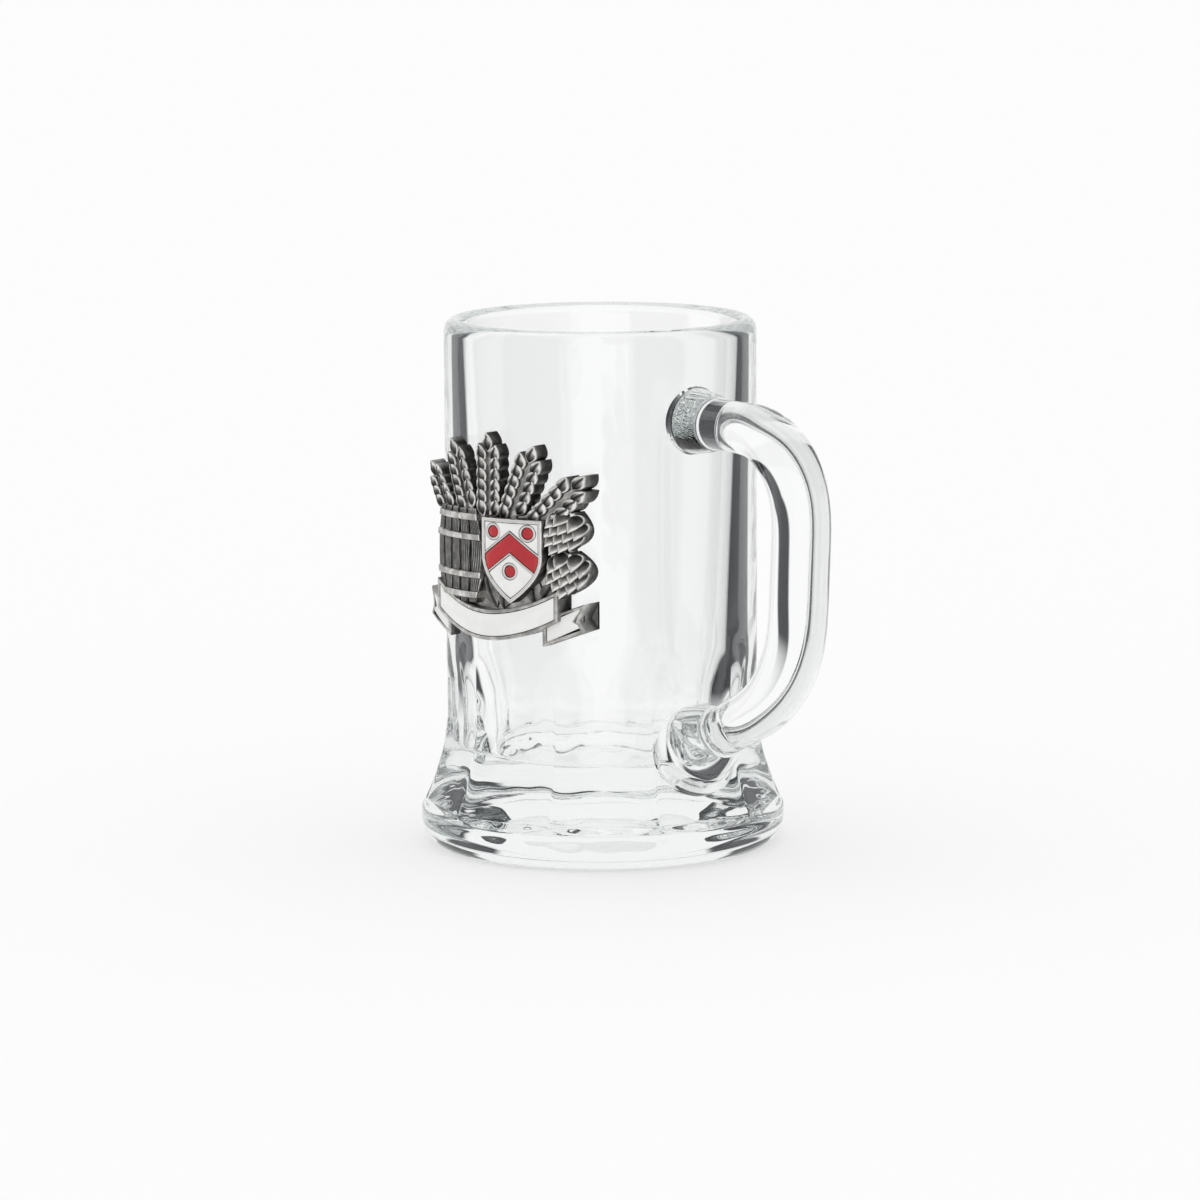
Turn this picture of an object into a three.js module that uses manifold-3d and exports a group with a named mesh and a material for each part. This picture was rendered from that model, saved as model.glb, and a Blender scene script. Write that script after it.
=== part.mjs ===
// A pressed-glass mini beer mug with a stuck glass handle and a cast metal badge.
// Millimetres, +Z up. The mug's axis is vertical and its handle points along +X.
// The origin lies on the table, under the middle of the mug and handle together.
import * as THREE from "three";
import { mergeVertices } from "three/addons/utils/BufferGeometryUtils.js";
import Module from "manifold-3d";

// Glass body
const BODY_HEIGHT = 70;
const BODY_RADIUS = 20.6;
const RIM_WALL = 2.3;
const FLOOR_WALL = 4.5; // the inside narrows towards its floor, so the wall is thicker there
const FLOOR_HEIGHT = 12.5;
const FLOOR_ROUND = 3;
const FOOT_RADIUS = 24.1;
const FOOT_HEIGHT = 4.9;
const FOOT_ROUND = 1;
const FLARE_BEND = 12; // height where the slope of the flare would meet the straight wall
const FLARE_TOP = 18;
const RECESS_RADIUS = 19.5; // hollow under the foot
const RECESS_DEPTH = 3;
const RECESS_LEVEL = 0.5; // share of the hollow's radius where its bend lies

// Flat panels pressed round the lower body, one of them under the handle
const PANEL_COUNT = 10;
const PANEL_TOP = 26.5;
const PANEL_ARCH = 6; // height of a panel's rounded top
const RIDGE_LAND = 0.5; // round surface left between two panels
const LEDGE_DROP = 0.5; // fall of the ledge between a panel and the foot

// Handle, a round glass rod that is thicker at the grip than at its ends
const ARM_BELOW_RIM = 11.9; // rim to the middle of the upper arm
const FINGER_GAP = 18.9; // wall to grip, at the upper arm
const GRIP_DIAMETER = 7.6;
const ARM_DIAMETER = 6.5;
const TAPER_SHARE = 0.3; // share of the rod's length over which each end thickens
const GRIP_LEAN = 3.4; // degrees
const UPPER_BEND = 10.6; // bend radii along the middle of the rod
const LOWER_BEND = 16;
const LOWER_ARM_SLOPE = 25.4; // degrees
const LOWER_JOINT_HEIGHT = 15.5;

// Bosses on the body that the rod is stuck to
const UPPER_BOSS_DIAMETER = 8.4;
const UPPER_BOSS_REACH = 4.5;
const LOWER_BOSS_DIAMETER = 10.4;
const LOWER_BOSS_REACH = 6.1;
const BOSS_ROOT = 1.2; // how deep a boss starts inside the wall
const BOSS_FULLNESS = 0.6; // share of a boss's length where its rounded side bends in
const JOINT_GAP = 0.3; // stands for the fused line between a boss and the rod

// Badge, curved round the glass
const BADGE_TURN = -76; // degrees round the mug from the handle
const BADGE_BELOW_RIM = 26.8; // rim to the middle of the badge
const GLUE_GAP = 0.1;
const GLUE_THICKNESS = 0.3;
const GLUE_MARGIN = 1.2; // the glue stays this far inside the plate's edge

// Relief of the casting: how far each level stands off the glass
const PLATE_RELIEF = 1.6;
const EAR_RELIEF = 2.3;
const GRAIN_RELIEF = 2.8;
const BARREL_RELIEF = 2.6;
const HOOP_RELIEF = 2.9;
const CONE_RELIEF = 2.7;
const SCALE_RELIEF = 3.1;
const TAIL_RELIEF = 2.5;
const RIBBON_RELIEF = 3.1;
const SHIELD_RELIEF = 3.4;

// Badge shapes: x to the right as one faces the badge, y up, from the badge's middle
const PLATE = { x: 0, y: -3.2, halfWidth: 11.2, halfHeight: 9.2 };
const SHEAF = { x: 0, y: -6, ears: 5, spread: 21 }; // spread in degrees between two ears
const EAR = { start: 8.6, length: 10.8, width: 3.2 };
const GRAIN = { rows: 4, length: 2.4, width: 1.5, tilt: 14, offset: 0.8 };
const BARREL = { x: -5.9, y: -2.6, halfHeight: 6.2, endHalf: 3.7, midHalf: 4.8, staves: 5 };
const HOOP = { width: 1, places: [-0.82, -0.4, 0.4, 0.82] }; // shares of the half height
const STAVE_GROOVE = { width: 0.25, depth: 0.35 };
const CONES = [
  { x: 10.5, y: 1.2, tilt: -24 },
  { x: 10.9, y: -4.2, tilt: -8 },
];
const CONE = { length: 5.8, width: 4.4, scaleLength: 1.7, scaleWidth: 1.15 };
const CONE_ROWS = [2, 3, 2, 1]; // scales in each row, from the stalk down
const SHIELD = { x: 4.1, halfWidth: 4.4, top: 2.8, shoulder: -2.4, point: -8.2, belly: 0.95 };
const CHEVRON = { peak: -0.3, slope: 0.75, halfHeight: 1.25 };
const ROUNDEL_RADIUS = 0.8;
const ROUNDELS = { left: [-2.5, 1.05], right: [2.5, 1.05], base: [0, -4] };
const RIBBON = { halfWidth: 10.2, end: -6.3, sag: 6, height: 4 };
const TAIL = { inner: 7.8, outer: 13.2, notch: 12.4, drop: 2.6, height: 3.6, rise: 2.2 };
const OVAL_BEND = 0.45; // share of a pointed oval's length where its sides bend
const ROW_START = 0.4; // where a cone's first row of scales begins, as a share of a row
const SCALE_PITCH = 1.04; // side step between scales, as a share of their width

// Enamel cells in the shield and the ribbon
const CELL_RIM = 0.5; // metal left round the outside of a cell
const CELL_WALL = 0.3; // metal line between two cells
const CELL_DEPTH = 0.5;
const POINT_INSET = 1.3; // a rim at the shield's point, measured upright, as a share of the rim
const NOTCH_INSET = 1.6; // the same at a tail's notch, measured along the ribbon
const FILL_GAP = 0.1; // round an enamel fill and under it
const FILL_DROP = 0.08; // the fill lies this far under the metal lines

// Fineness of the round surfaces
const ROUND_SEGMENTS = 60;
const ROD_SIDES = 16;
const ROD_RINGS = 36;
const BOSS_SIDES = 20;
const CURVE_STEPS = 5;
const SMALL_STEPS = 3;
const SAME_POINT = 1e-4; // corners closer than this are one corner

const wasm = await Module();
wasm.setup();
const { degToRad, smoothstep } = THREE.MathUtils;
const at = (x, y) => new THREE.Vector2(x, y);

// A closed geometry as a solid that can be joined and cut.
function solid(geometry) {
  const bare = geometry.clone();
  bare.deleteAttribute("normal");
  bare.deleteAttribute("uv");
  const merged = mergeVertices(bare, SAME_POINT);
  const corners = merged.index.array;
  const triangles = [];
  for (let i = 0; i < corners.length; i += 3) {
    const [a, b, c] = corners.slice(i, i + 3);
    if (a !== b && b !== c && c !== a) triangles.push(a, b, c);
  }
  return new wasm.Manifold(
    new wasm.Mesh({
      numProp: 3,
      vertProperties: new Float32Array(merged.attributes.position.array),
      triVerts: new Uint32Array(triangles),
    }),
  );
}

const join = (solids) => solids.reduce((whole, next) => whole.add(next));

function namedMesh(name, made, material) {
  const { vertProperties, triVerts, numProp } = made.getMesh();
  const geometry = new THREE.BufferGeometry();
  geometry.setAttribute("position", new THREE.BufferAttribute(vertProperties, numProp));
  geometry.setIndex(new THREE.BufferAttribute(triVerts, 1));
  geometry.computeVertexNormals();
  const mesh = new THREE.Mesh(geometry, material);
  mesh.name = name;
  return mesh;
}

// Turns a profile of radius and height round the vertical axis.
const revolve = (profile, segments = ROUND_SEGMENTS) =>
  new THREE.LatheGeometry(profile, segments).rotateX(Math.PI / 2);

// The slope from the foot up into the straight wall.
const flare = new THREE.QuadraticBezierCurve(
  at(FOOT_RADIUS, FOOT_HEIGHT),
  at(BODY_RADIUS, FLARE_BEND),
  at(BODY_RADIUS, FLARE_TOP),
);

function bodyProfile() {
  const lip = RIM_WALL / 2;
  const floorRadius = BODY_RADIUS - FLOOR_WALL;
  const foot = new THREE.Path();
  foot.moveTo(0, RECESS_DEPTH);
  foot.quadraticCurveTo(RECESS_RADIUS * RECESS_LEVEL, RECESS_DEPTH, RECESS_RADIUS, 0);
  foot.lineTo(FOOT_RADIUS - FOOT_ROUND, 0);
  foot.absarc(FOOT_RADIUS - FOOT_ROUND, FOOT_ROUND, FOOT_ROUND, -Math.PI / 2, 0);
  const inside = new THREE.Path();
  inside.moveTo(BODY_RADIUS, BODY_HEIGHT - lip);
  inside.absarc(BODY_RADIUS - lip, BODY_HEIGHT - lip, lip, 0, Math.PI);
  inside.lineTo(floorRadius, FLOOR_HEIGHT + FLOOR_ROUND);
  inside.absarc(floorRadius - FLOOR_ROUND, FLOOR_HEIGHT + FLOOR_ROUND, FLOOR_ROUND, 0, -Math.PI / 2, true);
  inside.lineTo(0, FLOOR_HEIGHT);
  return [
    ...foot.getPoints(SMALL_STEPS),
    ...flare.getPoints(CURVE_STEPS),
    ...inside.getPoints(SMALL_STEPS),
  ];
}

// Cuts one flat panel: its face follows the wall and the flare and runs out in a rounded top.
function panelCutter() {
  const flat = (r) => r * Math.cos(Math.PI / PANEL_COUNT - RIDGE_LAND / 2 / r);
  const depth = BODY_RADIUS - flat(BODY_RADIUS);
  const archStart = PANEL_TOP - PANEL_ARCH;
  const clear = FOOT_RADIUS + RIM_WALL;
  const face = flare.getPoints(CURVE_STEPS).map((p) => at(flat(p.x), p.y));
  face[0].y += LEDGE_DROP;
  for (let i = 0; i <= CURVE_STEPS; i++) {
    const share = i / CURVE_STEPS;
    face.push(at(BODY_RADIUS - depth * (1 - share ** 2), archStart + share * PANEL_ARCH));
  }
  const topSlope = (2 * depth) / PANEL_ARCH;
  const ledgeSlope = LEDGE_DROP / (FOOT_RADIUS - flat(FOOT_RADIUS));
  const outline = new THREE.Shape([
    at(clear, FOOT_HEIGHT - ledgeSlope * (clear - FOOT_RADIUS)),
    at(clear, PANEL_TOP + (clear - BODY_RADIUS) / topSlope),
    ...face.reverse(),
  ]);
  const width = FOOT_RADIUS;
  const block = new THREE.ExtrudeGeometry(outline, { depth: width, bevelEnabled: false });
  return block.translate(0, 0, -width / 2).rotateX(Math.PI / 2);
}

// A boss along +Y whose rounded side narrows from the wall to the end of the rod.
function boss(diameter, length) {
  const end = ARM_DIAMETER / 2;
  const profile = new THREE.Path();
  profile.moveTo(0, -BOSS_ROOT);
  profile.lineTo(diameter / 2, -BOSS_ROOT);
  profile.lineTo(diameter / 2, 0);
  profile.quadraticCurveTo(diameter / 2, length * BOSS_FULLNESS, end, length);
  profile.lineTo(0, length);
  return new THREE.LatheGeometry(profile.getPoints(CURVE_STEPS), BOSS_SIDES);
}

// Where the rod's two arms leave the wall, and which way, in the plane of the handle.
const armHeight = BODY_HEIGHT - ARM_BELOW_RIM;
const slope = degToRad(LOWER_ARM_SLOPE);
const joints = {
  upper: { root: at(BODY_RADIUS, armHeight), way: at(1, 0) },
  lower: { root: at(BODY_RADIUS, LOWER_JOINT_HEIGHT), way: at(Math.cos(slope), Math.sin(slope)) },
};

function placedBoss(joint, diameter, length) {
  const way = new THREE.Vector3(joint.way.x, 0, joint.way.y);
  const turn = new THREE.Quaternion().setFromUnitVectors(new THREE.Vector3(0, 1, 0), way);
  return boss(diameter, length).applyQuaternion(turn).translate(joint.root.x, 0, joint.root.y);
}

function mugBody() {
  let body = solid(revolve(bodyProfile()));
  for (let i = 0; i < PANEL_COUNT; i++) {
    body = body.subtract(solid(panelCutter().rotateZ((i * 2 * Math.PI) / PANEL_COUNT)));
  }
  return join([
    body,
    solid(placedBoss(joints.upper, UPPER_BOSS_DIAMETER, UPPER_BOSS_REACH)),
    solid(placedBoss(joints.lower, LOWER_BOSS_DIAMETER, LOWER_BOSS_REACH)),
  ]);
}

// Adds a line and a round bend to a path: the bend touches both sides of the corner.
function bendAt(path, corner, next, radius) {
  const back = path.currentPoint.clone().sub(corner).normalize();
  const on = next.clone().sub(corner).normalize();
  const half = back.angleTo(on) / 2;
  const middle = back.clone().add(on).normalize();
  const centre = corner.clone().addScaledVector(middle, radius / Math.sin(half));
  const start = corner.clone().addScaledVector(back, radius / Math.tan(half)).sub(centre);
  const end = corner.clone().addScaledVector(on, radius / Math.tan(half)).sub(centre);
  path.lineTo(start.x + centre.x, start.y + centre.y);
  path.absarc(centre.x, centre.y, radius, start.angle(), end.angle(), start.cross(end) < 0);
}

// The middle line of the rod: upper arm, grip and sloping lower arm.
function rodPath() {
  const { upper, lower } = joints;
  const lean = Math.tan(degToRad(GRIP_LEAN));
  const rise = lower.way.y / lower.way.x;
  const from = upper.root.clone().addScaledVector(upper.way, UPPER_BOSS_REACH + JOINT_GAP);
  const to = lower.root.clone().addScaledVector(lower.way, LOWER_BOSS_REACH + JOINT_GAP);
  const upperCorner = at(BODY_RADIUS + FINGER_GAP + GRIP_DIAMETER / 2, armHeight);
  const fall =
    (armHeight - lower.root.y - rise * (upperCorner.x - lower.root.x)) / (1 - rise * lean);
  const lowerCorner = at(upperCorner.x - fall * lean, armHeight - fall);
  const path = new THREE.Path();
  path.moveTo(from.x, from.y);
  bendAt(path, upperCorner, lowerCorner, UPPER_BEND);
  bendAt(path, lowerCorner, to, LOWER_BEND);
  path.lineTo(to.x, to.y);
  return path;
}

// A round section carried along the rod's middle line, with a flat end at each joint.
function handleRod() {
  const path = rodPath();
  const vertices = [];
  const triangles = [];
  for (let i = 0; i <= ROD_RINGS; i++) {
    const share = i / ROD_RINGS;
    const middle = path.getPointAt(share);
    const along = path.getTangentAt(share);
    const swell = smoothstep(Math.min(share, 1 - share), 0, TAPER_SHARE);
    const radius = (ARM_DIAMETER + (GRIP_DIAMETER - ARM_DIAMETER) * swell) / 2;
    for (let k = 0; k < ROD_SIDES; k++) {
      const angle = (k * 2 * Math.PI) / ROD_SIDES;
      const out = radius * Math.cos(angle);
      vertices.push(middle.x - along.y * out, radius * Math.sin(angle), middle.y + along.x * out);
    }
  }
  const ring = (i, k) => i * ROD_SIDES + (k % ROD_SIDES);
  for (let k = 0; k < ROD_SIDES; k++) {
    for (let i = 0; i < ROD_RINGS; i++) {
      triangles.push(ring(i, k), ring(i + 1, k), ring(i, k + 1));
      triangles.push(ring(i + 1, k), ring(i + 1, k + 1), ring(i, k + 1));
    }
    if (k > 0 && k < ROD_SIDES - 1) {
      triangles.push(ring(0, 0), ring(0, k), ring(0, k + 1));
      triangles.push(ring(ROD_RINGS, 0), ring(ROD_RINGS, k + 1), ring(ROD_RINGS, k));
    }
  }
  const geometry = new THREE.BufferGeometry();
  geometry.setAttribute("position", new THREE.Float32BufferAttribute(vertices, 3));
  return solid(geometry.setIndex(triangles));
}

// Badge construction. Each form is an outline drawn straight back towards the glass, as it leaves
// its mould, between two round levels that follow the glass.
const badgeHeight = BODY_HEIGHT - BADGE_BELOW_RIM;
const backRelief = 2 * GLUE_GAP + GLUE_THICKNESS;

function prism(shape, turn = 0, x = 0, y = 0) {
  const outline = new THREE.ExtrudeGeometry(shape, {
    depth: BODY_RADIUS,
    bevelEnabled: false,
    curveSegments: CURVE_STEPS,
  });
  outline.rotateZ(degToRad(turn)).translate(x, y, BODY_RADIUS / 2);
  outline.rotateX(Math.PI / 2).rotateZ(degToRad(BADGE_TURN + 90));
  return solid(outline.translate(0, 0, badgeHeight));
}

function level(lowRelief, highRelief) {
  const [low, high] = [BODY_RADIUS + lowRelief, BODY_RADIUS + highRelief];
  return solid(revolve([at(low, 0), at(high, 0), at(high, BODY_HEIGHT), at(low, BODY_HEIGHT), at(low, 0)]));
}

const form = (outline, highRelief) => outline.intersect(level(backRelief, highRelief));
const cut = (outline, lowRelief) => outline.intersect(level(lowRelief, lowRelief + SHIELD_RELIEF));

// A pointed oval from (0, 0) to (0, length).
function pointedOval(length, width) {
  const shape = new THREE.Shape();
  shape.moveTo(0, 0);
  shape.quadraticCurveTo(width, length * OVAL_BEND, 0, length);
  shape.quadraticCurveTo(-width, length * OVAL_BEND, 0, 0);
  return new THREE.Shape(shape.getPoints(SMALL_STEPS));
}

function plateShape(inset) {
  const shape = new THREE.Shape();
  shape.absellipse(PLATE.x, PLATE.y, PLATE.halfWidth - inset, PLATE.halfHeight - inset, 0, 2 * Math.PI);
  return shape;
}

// An oval or grain whose foot lies a given distance out along a turned axis.
function onAxis(shape, turn, root, distance, side, tilt) {
  const angle = degToRad(turn);
  const x = root.x - Math.sin(angle) * distance + Math.cos(angle) * side;
  const y = root.y + Math.cos(angle) * distance + Math.sin(angle) * side;
  return prism(shape, turn + tilt, x, y);
}

function barleyEar(turn) {
  const grain = pointedOval(GRAIN.length, GRAIN.width);
  const step = EAR.length / (GRAIN.rows + 1);
  const back = pointedOval(EAR.length, EAR.width);
  const forms = [form(onAxis(back, turn, SHEAF, EAR.start, 0, 0), EAR_RELIEF)];
  for (let row = 0; row < GRAIN.rows; row++) {
    for (const side of [-1, 1]) {
      const distance = EAR.start + row * step;
      const foot = onAxis(grain, turn, SHEAF, distance, side * GRAIN.offset, -side * GRAIN.tilt);
      forms.push(form(foot, GRAIN_RELIEF));
    }
  }
  forms.push(form(onAxis(grain, turn, SHEAF, EAR.start + GRAIN.rows * step, 0, 0), GRAIN_RELIEF));
  return join(forms);
}

function barrelShape(low, high) {
  const { endHalf, midHalf, halfHeight } = BARREL;
  const bulge = (y) => endHalf + (midHalf - endHalf) * (1 - (y / halfHeight) ** 2);
  const right = [];
  const left = [];
  for (let i = 0; i <= CURVE_STEPS; i++) {
    const y = low + ((high - low) * i) / CURVE_STEPS;
    right.push(at(BARREL.x + bulge(y), BARREL.y + y));
    left.unshift(at(BARREL.x - bulge(y), BARREL.y + y));
  }
  return new THREE.Shape([...right, ...left]);
}

function barrel() {
  const { halfHeight, midHalf, staves } = BARREL;
  let wood = form(prism(barrelShape(-halfHeight, halfHeight)), BARREL_RELIEF);
  for (let i = 1; i < staves; i++) {
    const x = BARREL.x + midHalf * ((2 * i) / staves - 1);
    const [w, h] = [STAVE_GROOVE.width / 2, halfHeight * 2];
    const slot = new THREE.Shape([at(x - w, -h), at(x + w, -h), at(x + w, h), at(x - w, h)]);
    wood = wood.subtract(cut(prism(slot), BARREL_RELIEF - STAVE_GROOVE.depth));
  }
  const hoops = HOOP.places.map((place) => {
    const y = place * halfHeight;
    return form(prism(barrelShape(y - HOOP.width / 2, y + HOOP.width / 2)), HOOP_RELIEF);
  });
  return join([wood, ...hoops]);
}

// A hanging hop cone with overlapping scales in rows.
function hopCone(place) {
  const { length, width, scaleLength, scaleWidth } = CONE;
  const down = place.tilt + 180;
  const scale = pointedOval(scaleLength, scaleWidth);
  const root = { x: place.x, y: place.y + length / 2 };
  const forms = [form(onAxis(pointedOval(length, width), down, root, 0, 0, 0), CONE_RELIEF)];
  CONE_ROWS.forEach((count, row) => {
    const distance = (length * (row + ROW_START)) / (CONE_ROWS.length + ROW_START);
    for (let i = 0; i < count; i++) {
      const side = (i - (count - 1) / 2) * scaleWidth * SCALE_PITCH;
      forms.push(form(onAxis(scale, down, root, distance, side, 0), SCALE_RELIEF));
    }
  });
  return join(forms);
}

function shieldShape(inset) {
  const half = SHIELD.halfWidth - inset;
  const point = SHIELD.point + inset * POINT_INSET;
  const shape = new THREE.Shape();
  shape.moveTo(0, point);
  shape.quadraticCurveTo(half * SHIELD.belly, (SHIELD.shoulder + point) / 2, half, SHIELD.shoulder);
  shape.lineTo(half, SHIELD.top - inset);
  shape.lineTo(-half, SHIELD.top - inset);
  shape.lineTo(-half, SHIELD.shoulder);
  shape.quadraticCurveTo(-half * SHIELD.belly, (SHIELD.shoulder + point) / 2, 0, point);
  return shape;
}

// The band of the shield between two heights above the chevron's middle line.
function chevronBand(low, high) {
  const reach = SHIELD.halfWidth * 2;
  const end = CHEVRON.peak - CHEVRON.slope * reach;
  return new THREE.Shape([
    at(-reach, end + low),
    at(0, CHEVRON.peak + low),
    at(reach, end + low),
    at(reach, end + high),
    at(0, CHEVRON.peak + high),
    at(-reach, end + high),
  ]);
}

function roundel(radius, [x, y]) {
  const shape = new THREE.Shape();
  shape.absarc(x, y, radius, 0, 2 * Math.PI);
  return prism(shape, 0, SHIELD.x, 0);
}

// The ribbon hangs in a bow and keeps its height all along.
const ribbonBow = (x) => RIBBON.end - RIBBON.sag / 2 + (RIBBON.sag / 2) * (x / RIBBON.halfWidth) ** 2;

function ribbonShape(inset) {
  const half = RIBBON.halfWidth - inset;
  const top = [];
  const bottom = [];
  const steps = 2 * CURVE_STEPS;
  for (let i = 0; i <= steps; i++) {
    const x = half * ((2 * i) / steps - 1);
    top.unshift(at(x, ribbonBow(x) - inset));
    bottom.push(at(x, ribbonBow(x) - RIBBON.height + inset));
  }
  return new THREE.Shape([...bottom, ...top]);
}

// A swallow-tailed end that comes out from behind the ribbon, on the side given by its sign.
function tailShape(side, inset) {
  const low = ribbonBow(TAIL.inner) - TAIL.drop - TAIL.height + inset;
  const high = low + TAIL.height - 2 * inset;
  const outer = TAIL.outer - inset;
  const corners = [
    at(TAIL.inner + inset, low),
    at(outer, low + TAIL.rise),
    at(TAIL.notch - inset * NOTCH_INSET, (low + high) / 2 + TAIL.rise),
    at(outer, high + TAIL.rise),
    at(TAIL.inner + inset, high),
  ];
  return new THREE.Shape(corners.map((p) => at(side * p.x, p.y)));
}

// Every enamel cell: the outline of its hollow, or with a gap of its fill, and its level.
function enamelCells(gap) {
  const field = prism(shieldShape(CELL_RIM + gap), 0, SHIELD.x, 0);
  const band = (low, high) => prism(chevronBand(low, high), 0, SHIELD.x, 0);
  const wall = CHEVRON.halfHeight + CELL_WALL + gap;
  const far = SHIELD.top - SHIELD.point;
  const ringed = (place) => roundel(ROUNDEL_RADIUS + CELL_WALL + gap, place);
  const disc = (place) => roundel(ROUNDEL_RADIUS - gap, place);
  const ribbon = prism(ribbonShape(CELL_RIM + gap));
  const hidden = prism(ribbonShape(-CELL_WALL - gap));
  const tail = (side) => prism(tailShape(side, CELL_RIM + gap)).subtract(hidden);
  return {
    shield_field_upper: {
      outline: field
        .intersect(band(wall, far))
        .subtract(ringed(ROUNDELS.left))
        .subtract(ringed(ROUNDELS.right)),
      relief: SHIELD_RELIEF,
    },
    shield_field_lower: {
      outline: field.intersect(band(-far, -wall)).subtract(ringed(ROUNDELS.base)),
      relief: SHIELD_RELIEF,
    },
    shield_chevron: {
      outline: field.intersect(band(gap - CHEVRON.halfHeight, CHEVRON.halfHeight - gap)),
      relief: SHIELD_RELIEF,
      red: true,
    },
    shield_roundel_left: { outline: disc(ROUNDELS.left), relief: SHIELD_RELIEF, red: true },
    shield_roundel_right: { outline: disc(ROUNDELS.right), relief: SHIELD_RELIEF, red: true },
    shield_roundel_base: { outline: disc(ROUNDELS.base), relief: SHIELD_RELIEF, red: true },
    ribbon_enamel: { outline: ribbon, relief: RIBBON_RELIEF },
    ribbon_tail_enamel_left: { outline: tail(-1), relief: TAIL_RELIEF },
    ribbon_tail_enamel_right: { outline: tail(1), relief: TAIL_RELIEF },
  };
}

function badgeCasting() {
  const ears = [];
  for (let i = 0; i < SHEAF.ears; i++) {
    ears.push(barleyEar(SHEAF.spread * ((SHEAF.ears - 1) / 2 - i)));
  }
  const tails = [-1, 1].map((side) => form(prism(tailShape(side, 0)), TAIL_RELIEF));
  const whole = join([
    form(prism(plateShape(0)), PLATE_RELIEF),
    ...ears,
    barrel(),
    ...CONES.map(hopCone),
    ...tails,
    form(prism(ribbonShape(0)), RIBBON_RELIEF),
    form(prism(shieldShape(0), 0, SHIELD.x, 0), SHIELD_RELIEF),
  ]);
  return Object.values(enamelCells(0)).reduce(
    (left, { outline, relief }) => left.subtract(cut(outline, relief - CELL_DEPTH)),
    whole,
  );
}

function enamelFills() {
  return Object.entries(enamelCells(FILL_GAP)).map(([name, { outline, relief, red }]) => {
    const fill = outline.intersect(level(relief - CELL_DEPTH + FILL_GAP, relief - FILL_DROP));
    return namedMesh(name, fill, red ? redEnamel : whiteEnamel);
  });
}

const glueFilm = () => prism(plateShape(GLUE_MARGIN)).intersect(level(GLUE_GAP, GLUE_GAP + GLUE_THICKNESS));

const clearGlass = new THREE.MeshStandardMaterial({
  color: 0xeef3f2,
  roughness: 0.04,
  transparent: true,
  opacity: 0.35,
});
const antiquedPewter = new THREE.MeshStandardMaterial({ color: 0x55544f, roughness: 0.38, metalness: 1 });
const whiteEnamel = new THREE.MeshStandardMaterial({ color: 0xf1f0ec, roughness: 0.14 });
const redEnamel = new THREE.MeshStandardMaterial({ color: 0xb5232a, roughness: 0.14 });
const clearGlue = new THREE.MeshStandardMaterial({ color: 0xd8d6cc, roughness: 0.4 });

const mug = new THREE.Group();
mug.add(
  namedMesh("mug_body", mugBody(), clearGlass),
  namedMesh("handle", handleRod(), clearGlass.clone()),
  namedMesh("badge_adhesive", glueFilm(), clearGlue),
  namedMesh("badge_casting", badgeCasting(), antiquedPewter),
  ...enamelFills(),
);
mug.position.x = -new THREE.Box3().setFromObject(mug).getCenter(new THREE.Vector3()).x;

const part = new THREE.Group();
part.add(mug);

export default part;
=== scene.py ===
"""A mini beer mug of pressed glass with a cast pewter badge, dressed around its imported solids.

Sizes are in millimetres and become metres where a mesh is made. Heights run up from the table, and
angles run round the mug's axis from the handle.
"""
import math

import bmesh
import bpy
import numpy as np
from mathutils import Matrix, Vector


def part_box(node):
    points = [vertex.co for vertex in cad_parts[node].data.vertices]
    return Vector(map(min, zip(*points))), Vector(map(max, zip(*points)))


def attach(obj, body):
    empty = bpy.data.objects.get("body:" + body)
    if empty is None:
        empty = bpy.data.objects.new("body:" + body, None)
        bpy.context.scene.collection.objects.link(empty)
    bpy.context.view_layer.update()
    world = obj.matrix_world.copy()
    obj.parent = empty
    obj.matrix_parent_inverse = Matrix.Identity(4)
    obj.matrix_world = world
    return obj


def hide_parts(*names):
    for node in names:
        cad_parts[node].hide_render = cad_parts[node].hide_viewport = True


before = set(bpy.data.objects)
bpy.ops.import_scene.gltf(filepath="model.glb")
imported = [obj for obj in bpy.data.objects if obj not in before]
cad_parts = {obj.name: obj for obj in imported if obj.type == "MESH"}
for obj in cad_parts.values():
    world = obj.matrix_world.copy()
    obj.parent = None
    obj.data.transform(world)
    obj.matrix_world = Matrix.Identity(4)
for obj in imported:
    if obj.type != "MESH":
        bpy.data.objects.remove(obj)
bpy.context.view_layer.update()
MM = 0.001

# Places and main sizes that the frame gives
body_low, body_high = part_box("mug_body")
BODY_HEIGHT = body_high.z / MM
FOOT_RADIUS = (body_high.y - body_low.y) / 2 / MM
AXIS_X = body_low.x / MM + FOOT_RADIUS

# Glass body
BODY_RADIUS = 20.6
RIM_WALL = 2.3
FLOOR_WALL = 4.5
LIP_OUTER = 1.5
LIP_OUTER_DROP = 1.8
LIP_INNER_DROP = 1.3
FLOOR_HEIGHT = 12.5
FLOOR_ROUND = 0.8
FOOT_HEIGHT = 4.9
HEEL_IN = 3.0
HEEL_UP = 3.8
FLARE_BEND = 12.0
FLARE_TOP = 18.0
RECESS_RADIUS = 19.5
RECESS_DEPTH = 3.0

# Panels pressed round the lower body
PANEL_COUNT = 10
PANEL_TOP = 26.5
PANEL_ARCH = 6.0
RIDGE_LAND = 0.5
LEDGE_DROP = 0.5
EDGE_SOFTNESS = 0.3
ARCH_SOFTNESS = 0.9
PANEL_STEPS = 26
UNDER_RIPPLE = 0.24
CALM_MIDDLE = 8.0
FLOOR_RIPPLE = 0.03
PANEL_RIPPLE = 0.02
WAVE_COUNT = 5
WAVE_LENGTHS = (4, 9)
RIDGE_CROWDING = 0.65
ARCH_RUN = 1.6
ARCH_CLEAR = 4.0
LEDGE_RUN = 2.5
CALM_FOOT = 4.0
SHARP_GLASS = 35

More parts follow.
